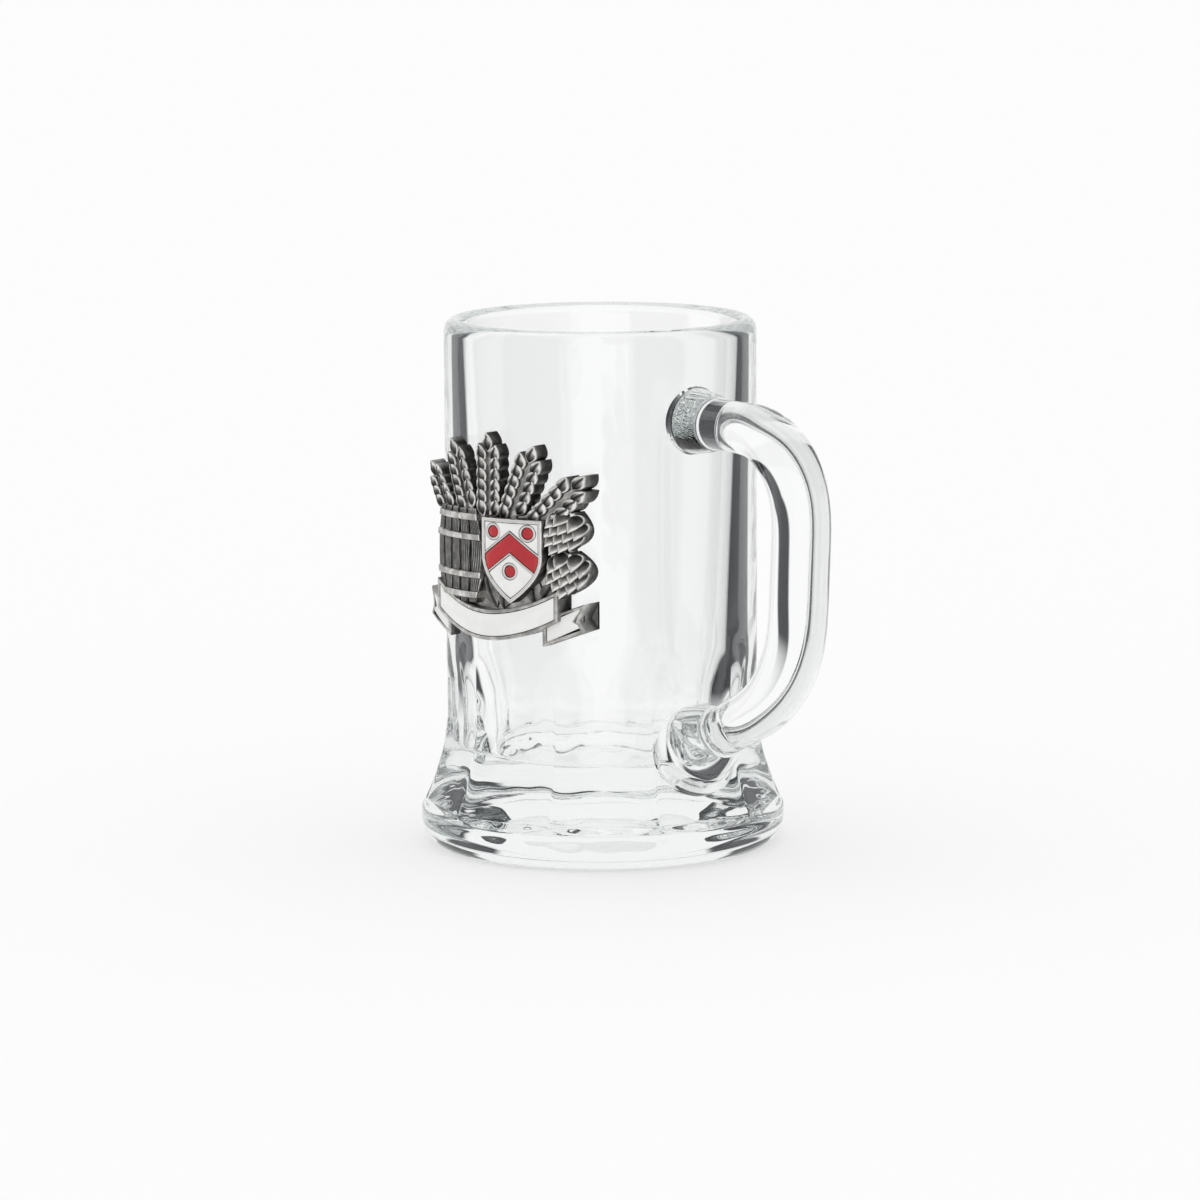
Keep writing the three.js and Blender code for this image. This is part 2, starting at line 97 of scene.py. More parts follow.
# Handle and the bosses that it is stuck to
ARM_HEIGHT = BODY_HEIGHT - 11.9
GRIP_DIAMETER = 7.6
ARM_DIAMETER = 6.5
GRIP_REACH = BODY_RADIUS + 18.9 + GRIP_DIAMETER / 2
GRIP_LEAN = math.radians(3.4)
TAPER_SHARE = 0.3
UPPER_BEND = 10.6
LOWER_BEND = 16.0
LOWER_ARM_SLOPE = math.radians(25.4)
LOWER_JOINT_HEIGHT = 15.5
UPPER_BOSS_DIAMETER = 8.4
UPPER_BOSS_REACH = 4.5
LOWER_BOSS_DIAMETER = 10.4
LOWER_BOSS_REACH = 6.1
BOSS_ROOT = 1.6
BOSS_NECK = 6.9
UPPER_BOSS_FILLET = 0.3
LOWER_BOSS_FILLET = 1.3
UPPER_FILLET_REACH = 0.7
LOWER_FILLET_REACH = 1.8
WALL_FOLLOW = 1.6
JOINT_GAP = 0.2
JOINT_ROUND = 0.3
JOINT_DOME = 1.8
ROD_SIDES = 108
ROD_STEP = 0.22
ROD_EASING = 2.0

# Badge: x runs to the right as one faces it, y up from its middle, and relief out from the glass
BADGE_TURN = math.radians(-76)
BADGE_MIDDLE = BODY_HEIGHT - 26.8
BACK_RELIEF = 0.5
BACK_STEP = 3.0
GLUE_RELIEF = (0.1, 0.4)
GLUE_MARGIN = 1.2
PLATE_RELIEF = 1.6
EAR_RELIEF = 1.95
GRAIN_RELIEF = 2.55
BARREL_RELIEF = 2.75
HOOP_RELIEF = 0.3
CONE_RELIEF = 2.45
SCALE_RELIEF = 2.75
TAIL_RELIEF = 2.5
RIBBON_RELIEF = 3.1
SHIELD_RELIEF = 3.4
PLATE_MIDDLE = (0.0, -3.2)
PLATE_HALF = (11.2, 9.2)
PLATE_BEVEL = 0.3
SHEAF_ROOT = (0.0, -6.0)
EAR_COUNT = 5
EAR_SPREAD = math.radians(21)
EAR_START = 8.6
EAR_LENGTH = 10.8
EAR_WIDTH = 3.2
GRAIN_ROWS = 6
GRAIN_LENGTH = 2.7
GRAIN_WIDTH = 1.75
GRAIN_TILT = math.radians(14)
GRAIN_OFFSET = 0.8
BARREL_MIDDLE = (-5.9, -2.6)
BARREL_HALF_HEIGHT = 6.2
BARREL_END_HALF = 3.7
BARREL_MID_HALF = 4.8
STAVE_COUNT = 5
STAVE_WEAR = 0.45
BARREL_CROWN = 0.6
CROWN_REACH = 0.9
BARREL_EDGE = 0.05
EDGE_DROP = 0.25
EDGE_WEAR = 0.3
GROOVE_WIDTH = 0.13
GROOVE_DEPTH = 0.34
GROOVE_WEAR = 0.7
WOOD_RELIEF = 0.025
WOOD_LINES = 97
WOOD_WEAR = 12
HOOP_WIDTH = 1.0
HOOP_SOFTNESS = 0.12
HOOP_WEAR = 0.35
RIVET_PLACE = 0.3
RIVET_RADIUS = 0.28
RIVET_RELIEF = 0.16
RIVET_WEAR = 0.3
HOOP_PLACES = (-0.82, -0.4, 0.4, 0.82)
CONES = ((10.5, 1.2, math.radians(156)), (10.9, -4.2, math.radians(172)))
CONE_LENGTH = 5.8
CONE_WIDTH = 4.4
CONE_ROWS = (2, 3, 2, 3, 2, 1)
SCALE_LENGTH = 2.5
SCALE_WIDTH = 1.9
SCALE_SPACING = 1.4
SCALE_BEND = 0.15
SCALE_ROOT = 0.6
SCALE_START = 0.1
SCALE_RISE = 0.25
SCALE_SIDE_FALL = 0.2
SCALE_ROW_FALL = 0.03
SCALE_FAN = 0.2
TIP_OVERHANG = 0.3
OVAL_BEND = 0.45
OVAL_CREST = 0.48
GRAIN_CREST = 0.47
SCALE_CREST = 0.6
CREASE_WIDTH = 0.16
LEVEL_SLACK = 0.01
# Share of a lifted form's length over which its crown goes from painted shade at the root to its full wear
LIFT_SHADE = (0.1, 0.75)
EAR_FINISH = {"bevel": 0.25, "dome": 0.1}
GRAIN_FINISH = {"bevel": 0.3, "dome": 0.35, "crease": 0.1, "lift": 0.45}
CONE_FINISH = {"bevel": 0.4, "dome": 0.25}
SCALE_FINISH = {"bevel": 0.2, "dome": 0.1, "crease": -0.06, "lift": 1.1}
LEAF_FINISH = {"bevel": 0.15, "dome": 0.22, "crease": 0.22}
LEAVES = ((0.9, -9.2, 0.42, 4.8), (2.0, -9.2, -0.1, 3.2), (6.6, -8.6, 0.12, 4.4), (7.4, -8.2, -0.5, 3.2))
LEAF_WIDTH = 2.2
LEAF_RELIEF = 1.9
SHIELD_X = 4.1
SHIELD_HALF = 4.4
SHIELD_TOP = 2.8
SHIELD_SHOULDER = -2.4
SHIELD_POINT = -8.2
CHEVRON_PEAK = -0.3
CHEVRON_SLOPE = 0.75
CHEVRON_HALF = 1.25
ROUNDEL_RADIUS = 0.8
ROUNDELS = {"left": (-2.5, 1.05), "right": (2.5, 1.05), "base": (0.0, -4.0)}
RIBBON_HALF = 10.2
RIBBON_END = -6.3
RIBBON_SAG = 6.0
RIBBON_HEIGHT = 4.0
TAIL_INNER = 7.8
TAIL_OUTER = 13.2
TAIL_NOTCH = 12.4
TAIL_DROP = 2.6
TAIL_HEIGHT = 3.6
TAIL_RISE = 2.2
POINT_INSET = 1.3
POINT_CROWDING = 1.6
SHIELD_BELLY = 0.95
SHIELD_MIDDLE = -2.0
CORNER_STEP = 0.12
RIBBON_ROLL = 0.16
ROLL_WAVES = 1.5
TAIL_CURL = 0.25
TAIL_FLAT = 0.4
NOTCH_INSET = 1.6
CELL_RIM = 0.5
CELL_WALL = 0.3
CELL_DEPTH = 0.5
CELL_SINK = 0.1
CELL_FLOOR_INSET = 0.02
RIM_ROUND = 0.16
RIM_STEEPNESS = 0.98
RIM_STEP = 0.06
RIM_BEVEL = 0.17
RING_BEVEL = 0.13
THIN_BEVEL = 0.1
SHARP_BEVEL = 0.05
LINE_ROUND = 0.14
RIM_STEPS = (0, 0.06, 0.14, 0.22, 0.3, 0.38, 0.46, 0.52, 0.6)
ROUND_SIDES = 40
FILL_DROP = 0.08
FILL_LIFT = 0.05
FILL_DEPTH = CELL_DEPTH - FILL_DROP - FILL_LIFT
FILL_SWELL = 0.12
FILL_SINK = 0.05
RIBBON_SINK = 0.06
TAIL_SWELL = 0.1
DISC_DROP = 0.04
DISC_DOME = 0.1
FIELD_SHARE = 0.985
WALL_WEAR = 0.6
BACK_WEAR = 0.6 * WALL_WEAR
CROWN_WEAR = 0.6
BEVEL_WEAR = 0.3
CREASE_WEAR = 0.6
LEAF_WEAR = 0.7
RIM_WEAR = 0.78
SHARP_METAL = 50
FILL_GAP = 0.07

# Colour of the glass, and a tint that shows only along deep paths
GLASS_COLOUR = (0.986, 0.988, 0.988, 1)
GLASS_TINT = (0.67, 0.74, 0.725, 1)
TINT_DENSITY = 6.0

# Camera, fitted to the rim, the wall and the foot in the photograph
CAMERA_AZIMUTH = math.radians(53.5)
CAMERA_ELEVATION = math.radians(8.727)
CAMERA_ROLL = math.radians(-0.348)
CAMERA_DISTANCE = 775.0
CAMERA_AIM = (-0.218, 32.213)
FRAME_PIXELS = 1200
FOCAL_PIXELS = 5844.8
SENSOR = 36.0

# Backdrop and the dark flags beside it, by the sine of the angle from the camera's line
WHITE_LEVEL = 0.985
FLAG_COLOUR = (0.026, 0.030, 0.035)
FLAG_INNER = (0.40, 0.46)
FLAG_OUTER = (0.78, 0.84)
FLAG_SIDE = (-0.2, -0.1)
STRIP_OUTER = (0.72, 0.78)
FLAG_DISTANCE = (0.05, 0.12)
METAL_SHARE = 0.35
FEW_FACES = 3.5
GLASS_BOUNCES = 32
FLOOR_HALF = 8.0
FLOOR_PAPER = 0.45
PAPER_THROUGH_GLASS = 0.12


def smooth_step(x, low, high):
    """Rises from 0 at low to 1 at high along a cubic that is level at both ends."""
    share = np.clip((x - low) / (high - low), 0, 1)
    return share * share * (3 - 2 * share)


def soft_min(a, b, width):
    """The lesser of a and b, with the crease where they cross rounded over the given width."""
    share = np.clip(0.5 + (b - a) / (2 * width), 0, 1)
    return b + (a - b) * share - width * share * (1 - share)


def grid_object(name, points, material):
    """A closed surface from a grid of points: columns join up in a ring and equal points are merged."""
    rows, columns = points.shape[:2]
    index = np.arange(rows * columns).reshape(rows, columns)
    here, after = index, np.roll(index, -1, axis=1)
    faces = np.stack([here[:-1], after[:-1], after[1:], here[1:]], axis=-1).reshape(-1, 4)
    mesh = bpy.data.meshes.new(name)
    mesh.from_pydata(points.reshape(-1, 3) * MM, [], faces.tolist())
    return closed_object(name, mesh, material)


def closed_object(name, mesh, material):
    """Merges doubles, turns every face outwards and shades the surface smooth."""
    work = bmesh.new()
    work.from_mesh(mesh)
    bmesh.ops.remove_doubles(work, verts=work.verts, dist=1e-7)
    bmesh.ops.recalc_face_normals(work, faces=work.faces)
    work.to_mesh(mesh)
    work.free()
    mesh.shade_smooth()
    mesh.materials.append(material)
    made = bpy.data.objects.new(name, mesh)
    bpy.context.scene.collection.objects.link(made)
    return made


def flare_radius(height):
    """Radius of the round wall: a curve with one bend from the foot into the straight upper wall."""
    share = np.linspace(0, 1, 200)
    radius = BODY_RADIUS + (FOOT_RADIUS - BODY_RADIUS) * (1 - share) ** 2
    rise = FOOT_HEIGHT * (1 - share) ** 2 + 2 * FLARE_BEND * share * (1 - share) + FLARE_TOP * share**2
    return np.interp(height, rise, radius)


def outer_radius(angle, height):
    """The round wall cut by flat panels: the lesser of the wall and a plane at the panel's distance.

    Up the arch the plane moves out along a parabola until it leaves the wall, and at the ledge it
    moves out to the foot, so the panel's rounded top and its ledge come from the same cut.
    """
    wall = flare_radius(height)
    half = math.pi / PANEL_COUNT
    flat = wall * np.cos(half - RIDGE_LAND / 2 / wall)
    depth = BODY_RADIUS - BODY_RADIUS * math.cos(half - RIDGE_LAND / 2 / BODY_RADIUS)
    climb = np.clip((height - PANEL_TOP + PANEL_ARCH) / PANEL_ARCH, 0, ARCH_RUN)
    ledge = smooth_step(height, FOOT_HEIGHT - LEDGE_DROP / 2, FOOT_HEIGHT + 2 * LEDGE_DROP)
    plane = flat + depth * climb**2 + (1 - ledge) * (FOOT_RADIUS - flat + EDGE_SOFTNESS)
    across = (angle + half) % (2 * half) - half
    softness = EDGE_SOFTNESS + (ARCH_SOFTNESS - EDGE_SOFTNESS) * smooth_step(climb, 0, 1)
    return soft_min(wall, plane / np.cos(across), softness)


def panel_angles():
    """Angles round the mug, close together at the ridges and wider across each panel."""
    share = np.arange(PANEL_STEPS) * 2 / PANEL_STEPS - 1
    crowded = (1 - RIDGE_CROWDING) * share + RIDGE_CROWDING * np.sin(share * math.pi / 2)
    across = crowded * math.pi / PANEL_COUNT
    middles = np.arange(PANEL_COUNT) * 2 * math.pi / PANEL_COUNT
    return (middles[:, None] + across[None, :]).ravel()


def arc(middle, radius, start, end, steps):
    """Points of a round arc between two angles, in radius and height."""
    angle = np.linspace(start, end, steps)
    return np.stack([middle[0] + radius * np.cos(angle), middle[1] + radius * np.sin(angle)], axis=1)


def ripple(x, y, seed):
    """Slow unevenness of pressed glass: five flat waves with seeded directions, lengths and phases."""
    dice = np.random.default_rng(seed)
    way = dice.uniform(0, 2 * math.pi, WAVE_COUNT)
    length = dice.uniform(*WAVE_LENGTHS, WAVE_COUNT)
    phase = dice.uniform(0, 2 * math.pi, WAVE_COUNT)
    ahead = x[..., None] * np.cos(way) + y[..., None] * np.sin(way)
    return np.sin(ahead * 2 * math.pi / length + phase).mean(axis=-1) * math.sqrt(WAVE_COUNT)


def glass_body(material):
    """One closed surface: a profile from the underside up the outside and down the inside, carried round.

    Below the lip the outer rows take their radius from the panels, so they are not round.
    """
    angle = panel_angles()
    lip_inner = RIM_WALL - LIP_OUTER
    floor_radius = BODY_RADIUS - FLOOR_WALL
    under = np.linspace(0, RECESS_RADIUS, 30)
    hollow = np.stack([under, RECESS_DEPTH * (1 - (under / RECESS_RADIUS) ** 2)], axis=1)
    heel = [FOOT_RADIUS - HEEL_IN, HEEL_UP] + arc((0, 0), 1, -math.pi / 2, 0, 17) * [HEEL_IN, HEEL_UP]
    lip = arc((0, 0), 1, 0, math.pi, 29)
    lip *= np.where(lip[:, :1] > 0, [LIP_OUTER, LIP_OUTER_DROP], [lip_inner, LIP_INNER_DROP])
    rest = np.where(lip[:, 0] > 0, LIP_OUTER_DROP, LIP_INNER_DROP)
    mouth = np.stack([BODY_RADIUS - LIP_OUTER + lip[:, 0], BODY_HEIGHT - rest + lip[:, 1]], axis=1)
    corner = arc((floor_radius - FLOOR_ROUND, FLOOR_HEIGHT + FLOOR_ROUND), FLOOR_ROUND, 0, -math.pi / 2, 13)
    well = np.linspace(0, 1, 14)[1:-1, None]
    inner_wall = mouth[-1] + (corner[0] - mouth[-1]) * well
    floor = np.stack([np.linspace(corner[-1, 0], 0, 20)[1:], np.full(19, FLOOR_HEIGHT)], axis=1)
    heights = np.concatenate([
        np.linspace(HEEL_UP, FOOT_HEIGHT - LEDGE_DROP, 5)[1:-1],
        np.linspace(FOOT_HEIGHT - LEDGE_DROP, FOOT_HEIGHT + LEDGE_RUN * LEDGE_DROP, 16),
        np.linspace(FOOT_HEIGHT + LEDGE_RUN * LEDGE_DROP, PANEL_TOP - PANEL_ARCH, 32)[1:],
        np.linspace(PANEL_TOP - PANEL_ARCH, PANEL_TOP + ARCH_CLEAR, 40)[1:],
        np.linspace(PANEL_TOP + ARCH_CLEAR, BODY_HEIGHT - LIP_OUTER_DROP, 12)[1:-1],
    ])

    def ring(profile):
        size = (len(profile), len(angle))
        return np.broadcast_to(profile[:, :1], size), np.broadcast_to(profile[:, 1:], size)

    panelled = outer_radius(angle[None, :], heights[:, None])
    calm_top = 1 - smooth_step(heights, FLARE_TOP, PANEL_TOP)
    calm_ends = smooth_step(heights, FOOT_HEIGHT, FOOT_HEIGHT + CALM_FOOT) * calm_top
    round_way = BODY_RADIUS * np.stack([np.cos(angle), np.sin(angle)])
    unevenness = ripple(round_way[0] + heights[:, None], round_way[1] - heights[:, None], 11)
    panelled = panelled - PANEL_RIPPLE * (1 + unevenness) * calm_ends[:, None]
    upright = np.broadcast_to(heights[:, None], panelled.shape)
    inside = [ring(profile) for profile in (mouth, inner_wall, corner, floor)]
    bands = [ring(hollow), ring(heel), (panelled, upright), *inside]
    radius = np.concatenate([band[0] for band in bands])
    height = np.concatenate([band[1] for band in bands])
    x, y = radius * np.cos(angle), radius * np.sin(angle)
    under_rows, top_row = len(hollow), len(radius) - len(corner) - len(floor)
    outer_part = smooth_step(radius[:under_rows], CALM_MIDDLE, RECESS_RADIUS)
    fading = np.clip(1 - (radius[:under_rows] / RECESS_RADIUS) ** 8, 0, 1)
    height[:under_rows] += UNDER_RIPPLE * outer_part * fading * ripple(x[:under_rows], y[:under_rows], 3)
    height[top_row:] += FLOOR_RIPPLE * ripple(x[top_row:], y[top_row:], 5)
    points = np.stack([AXIS_X + x, y, height], axis=-1)
    return grid_object("glass_body", points, material)


def eased(values):
    """Values along a line, each a bell-weighted mean of its neighbours, so that bends begin gently."""
    reach = round(3 * ROD_EASING / ROD_STEP)
    bell = np.exp(-((np.arange(-reach, reach + 1) * ROD_STEP / ROD_EASING) ** 2) / 2)
    before = values[0] - (values[1] - values[0]) * np.arange(reach, 0, -1)
    after = values[-1] + (values[-1] - values[-2]) * np.arange(1, reach + 1)
    return np.convolve(np.concatenate([before, values, after]), bell / bell.sum(), mode="valid")


def rounded_line(corners, bends):
    """Points along straight stretches with a round bend at each inner corner, in the handle's plane."""
    corners = [np.array(corner, float) for corner in corners]
    stops = [corners[0]]
    for before, corner, after, bend in zip(corners, corners[1:], corners[2:], bends):
        back = (before - corner) / np.linalg.norm(before - corner)
        on = (after - corner) / np.linalg.norm(after - corner)
        half = math.acos(float(back @ on)) / 2
        middle = corner + (back + on) / np.linalg.norm(back + on) * bend / math.sin(half)
        start = corner + back * bend / math.tan(half) - middle
        end = corner + on * bend / math.tan(half) - middle
        turn = math.atan2(start[0] * end[1] - start[1] * end[0], start @ end)
        first = math.atan2(start[1], start[0])
        steps = max(2, round(abs(turn) * bend / ROD_STEP))
        stops.extend(arc(middle, bend, first, first + turn, steps))
    stops.append(corners[-1])
    stops = np.array(stops)
    length = np.concatenate([[0], np.cumsum(np.linalg.norm(np.diff(stops, axis=0), axis=1))])
    spots = np.linspace(0, length[-1], round(length[-1] / ROD_STEP))
    return np.stack([eased(np.interp(spots, length, stops[:, axis])) for axis in (0, 1)], axis=1), spots


def boss_radius(distance, diameter, reach, fillet, fillet_reach):
    """Radius of a boss at a distance from the wall: a rounded cone with a hollow fillet at its foot."""
    share = np.clip(distance / reach, 0, 1)
    cone = BOSS_NECK / 2 + (diameter - BOSS_NECK) / 2 * (1 - share**2)
    flare = fillet * np.clip(1 - distance / fillet_reach, 0, 1) ** 2
    return cone + flare


def handle_line():
    """The handle's middle line from inside the wall and back into it, with the distance along it."""
    way = np.array([math.cos(LOWER_ARM_SLOPE), math.sin(LOWER_ARM_SLOPE)])
    upper_root, lower_root = np.array([BODY_RADIUS, ARM_HEIGHT]), np.array([BODY_RADIUS, LOWER_JOINT_HEIGHT])
    lean, rise = math.tan(GRIP_LEAN), math.tan(LOWER_ARM_SLOPE)
    fall = (ARM_HEIGHT - LOWER_JOINT_HEIGHT - rise * (GRIP_REACH - BODY_RADIUS)) / (1 - rise * lean)
    corners = [
        upper_root - [BOSS_ROOT, 0],
        (GRIP_REACH, ARM_HEIGHT),
        (GRIP_REACH - fall * lean, ARM_HEIGHT - fall),
        lower_root - way * BOSS_ROOT,
    ]
    return rounded_line(corners, (UPPER_BEND, LOWER_BEND))


def swept(name, start, end, radius_at, material, start_dome=0.0, end_dome=0.0):
    """A round section carried along a stretch of the handle's line, with rounded edges at its two ends.

    An end is flat or a dome that rises along the line. Near the wall the rings bend like the wall, so
    that a boss's fillet meets it all round.
    """
    line, spots = handle_line()
    turn = np.linspace(0, math.pi / 2, 7)
    edge, inset = JOINT_ROUND * (1 - np.cos(turn)), JOINT_ROUND * (1 - np.sin(turn))
    steps = max(12, round((end - start) / ROD_STEP))
    middle = np.linspace(start + JOINT_ROUND, end - JOINT_ROUND, steps)[1:-1]
    places = np.concatenate([start + edge, middle, end - edge[::-1]])
    radius = radius_at(places, spots[-1])
    radius -= np.concatenate([inset, np.zeros(len(middle)), inset[::-1]])
    cap = np.linspace(0, 1, 14)[:-1]
    rise = 1 - cap**2
    places = np.concatenate([start + start_dome * rise, places, end + end_dome * rise[::-1]])
    radius = np.concatenate([radius[0] * cap, radius, radius[-1] * cap[::-1]])
    along = np.gradient(line, axis=0)
    along /= np.linalg.norm(along, axis=1, keepdims=True)
    line = np.stack([np.interp(places, spots, line[:, axis]) for axis in (0, 1)], axis=1)
    along = np.stack([np.interp(places, spots, along[:, axis]) for axis in (0, 1)], axis=1)
    angle = np.arange(ROD_SIDES) * 2 * math.pi / ROD_SIDES
    out, aside = radius[:, None] * np.cos(angle), radius[:, None] * np.sin(angle)
    from_upper, from_lower = places - BOSS_ROOT, spots[-1] - places - BOSS_ROOT
    near_wall = np.clip(1 - from_upper / WALL_FOLLOW, 0, 1) - np.clip(1 - from_lower / WALL_FOLLOW, 0, 1)
    hollow = (BODY_RADIUS - np.sqrt(BODY_RADIUS**2 - aside**2)) * near_wall[:, None]
    points = np.stack([
        AXIS_X + line[:, :1] - along[:, 1:] * out - along[:, :1] * hollow,
        aside,
        line[:, 1:] + along[:, :1] * out - along[:, 1:] * hollow,
    ], axis=-1)
    return grid_object(name, points, material)


def rod_radius(places, length):
    """The rod's own radius, which swells from both ends towards the grip."""
    first = BOSS_ROOT + UPPER_BOSS_REACH
    share = (places - first) / (length - first - BOSS_ROOT - LOWER_BOSS_REACH)
    swell = smooth_step(np.minimum(share, 1 - share), 0, TAPER_SHARE)
    return (ARM_DIAMETER + (GRIP_DIAMETER - ARM_DIAMETER) * swell) / 2


def upper_boss_radius(places, length):
    size = (UPPER_BOSS_DIAMETER, UPPER_BOSS_REACH, UPPER_BOSS_FILLET, UPPER_FILLET_REACH)
    return boss_radius(places - BOSS_ROOT, *size)


def lower_boss_radius(places, length):
    size = (LOWER_BOSS_DIAMETER, LOWER_BOSS_REACH, LOWER_BOSS_FILLET, LOWER_FILLET_REACH)
    return boss_radius(length - places - BOSS_ROOT, *size)


def combined(name, base, other, material, operation, sharp):
    """Two closed surfaces as one, by a union or a difference, with edges over an angle kept sharp."""
    join = base.modifiers.new("join", "BOOLEAN")
    join.operation = operation
    join.solver = "EXACT"
    join.object = other
    bpy.context.view_layer.update()
    whole = bpy.data.meshes.new_from_object(base.evaluated_get(bpy.context.evaluated_depsgraph_get()))
    for spent in (base, other):
        bpy.data.objects.remove(spent)
    whole.name = name
    whole.materials.clear()
    made = closed_object(name, whole, material)
    made.data.set_sharp_from_angle(angle=math.radians(sharp))
    return made


def on_glass(flat, relief):
    """Badge points in the frame: drawn straight out to a level that is round like the glass."""
    x, y = flat[..., 0], flat[..., 1]
    reach = np.sqrt((BODY_RADIUS + relief) ** 2 - x**2)
    cos, sin = math.cos(BADGE_TURN), math.sin(BADGE_TURN)
    return np.stack([AXIS_X + reach * cos - x * sin, reach * sin + x * cos, BADGE_MIDDLE + y], axis=-1)


def placed(flat, turn, x, y):
    """Badge points turned about their own origin and moved."""
    cos, sin = math.cos(turn), math.sin(turn)
    across, along = flat[..., 0], flat[..., 1]
    return np.stack([x + across * cos - along * sin, y + across * sin + along * cos], axis=-1)


def inset(outline, distance):
    """A closed outline, drawn anticlockwise, moved inwards along its normals."""
    run = np.roll(outline, -1, axis=0) - np.roll(outline, 1, axis=0)
    run = run / np.linalg.norm(run, axis=1, keepdims=True)
    return outline + distance * np.stack([-run[:, 1], run[:, 0]], axis=1)


def pointed_oval(length, width, steps=14, bend=OVAL_BEND):
    """An oval with a point at each end, from (0, 0) up to (0, length), of two curves with one bend each."""
    share = np.linspace(0, 1, steps)
    side = 2 * share * (1 - share) * width
    up = 2 * share * (1 - share) * length * bend + share**2 * length
    right = np.stack([side, up], axis=1)
    left = np.stack([-side, up], axis=1)[::-1]
    return np.concatenate([right[:-1], left[:-1]])


def ellipse(middle, half, steps):
    """An ellipse drawn anticlockwise."""
    angle = np.arange(steps) * 2 * math.pi / steps
    return np.stack([middle[0] + half[0] * np.cos(angle), middle[1] + half[1] * np.sin(angle)], axis=1)


def grid_faces(rows, columns, ring_rows, ring_columns):
    """Quads between neighbours of a grid, whose rows or columns may close into a ring."""
    index = np.arange(rows * columns).reshape(rows, columns)
    after_row, after_column = np.roll(index, -1, axis=0), np.roll(index, -1, axis=1)
    after_both = np.roll(after_row, -1, axis=1)
    quads = np.stack([index, after_column, after_both, after_row], axis=-1)
    quads = quads if ring_rows else quads[:-1]
    quads = quads if ring_columns else quads[:, :-1]
    return quads.reshape(-1, 4).tolist()


def pillow(outline, middle, low, high, bevel, dome, crease=0.0, lift=0.0):
    """A raised form: straight wall, round bevel and a crown that rises to the middle.

    Rings of the outline climb the wall, move in round the bevel, then shrink to the middle while the
    relief grows by the dome times one less the share squared. A crease lowers the form's own upright
    middle line, and a lift raises its far end and darkens its crown towards the root as painted shade.
    """
    round_off = np.linspace(0, math.pi / 2, 5)
    shrink = np.array([0.8, 0.6, 0.4, 0.2, 0.0])
    round_wear = WALL_WEAR + (1 - WALL_WEAR) * np.sin(round_off)
    edge = inset(outline, bevel)
    point = np.broadcast_to(middle, outline.shape)
    back = np.linspace(0, 1, 2 + int(np.ptp(outline[:, 0]) / BACK_STEP))
    rings = [point + (outline - point) * share for share in back]
    rings += [inset(outline, bevel * (1 - math.cos(turn))) for turn in round_off]
    rings += [point + (edge - point) * share for share in shrink]
    lows = np.full(len(back), low)
    relief = np.concatenate([lows, high - bevel + bevel * np.sin(round_off), high + dome * (1 - shrink**2)])
    wear_and_shade = np.concatenate([np.full(len(back), BACK_WEAR), round_wear, CROWN_WEAR + BEVEL_WEAR * shrink])
    flat = np.stack(rings)
    relief = np.repeat(relief[:, None], len(outline), axis=1)
    wear_and_shade = np.repeat(wear_and_shade[:, None], len(outline), axis=1)
    top = np.arange(len(rings))[:, None] > len(back) + len(round_off) - 2
    across = np.exp(-(((flat[..., 0] - middle[0]) / CREASE_WIDTH) ** 2))
    reach = outline[:, 1].max() - outline[:, 1].min()
    relief = relief - top * crease * across
    relief = relief + (relief > low + LEVEL_SLACK) * lift * (flat[..., 1] - middle[1]) / reach
    wear_and_shade = wear_and_shade - top * CREASE_WEAR * across * (crease > 0)
    # A lifted form's crown is darkened towards its root: painted shade under the form before it, which
    # overlaps it.
    if lift > 0:
        share = (flat[..., 1] - outline[:, 1].min()) / reach
        wear_and_shade = wear_and_shade * (1 - top * (1 - smooth_step(share, *LIFT_SHADE)))
    return flat, relief, wear_and_shade, grid_faces(*relief.shape, False, True)


def border(outline, width, low, high, bevel):
    """A raised line round an outline: a wall with a rounded top whose section is carried round."""
    round_off = np.linspace(0, math.pi / 2, 5)
    move_in = bevel * (1 - np.cos(round_off))
    moves = np.concatenate([[0], move_in, width - move_in[::-1], [width]])
    rise = high - bevel + bevel * np.sin(round_off)
    relief = np.concatenate([[low], rise, rise[::-1], [low]])
    round_wear = WALL_WEAR + (1 - WALL_WEAR) * np.sin(round_off)
    wear_and_shade = np.concatenate([[BACK_WEAR], round_wear, round_wear[::-1], [0]])
    flat = np.stack([inset(outline, move) for move in moves])
    relief = np.repeat(relief[:, None], len(outline), axis=1)
    wear_and_shade = np.repeat(wear_and_shade[:, None], len(outline), axis=1)
    return flat, relief, wear_and_shade, grid_faces(*relief.shape, True, True)


def carpet(flat, relief, wear_and_shade, low):
    """A grid of points with its edges drawn straight down to a low level and closed underneath.

    The underside is one upright strip for each column, so that it bends round with the glass.
    """
    flat = np.pad(flat, ((1, 1), (1, 1), (0, 0)), mode="edge")
    relief = np.pad(relief, 1, constant_values=low)
    wear_and_shade = np.pad(wear_and_shade, 1, constant_values=BACK_WEAR)
    rows, columns = relief.shape
    index = np.arange(rows * columns).reshape(rows, columns)
    first, last = index[0], index[-1]
    strips = np.stack([first[2:-3], last[2:-3], last[3:-2], first[3:-2]], axis=-1)
    left = np.concatenate([first[2::-1], index[1:-1, 0], last[:3]])
    right = np.concatenate([last[-3:], index[-2:0:-1, -1], first[:-4:-1]])
    under = strips.tolist() + [left.tolist(), right.tolist()]
    return flat, relief, wear_and_shade, grid_faces(rows, columns, False, False) + under


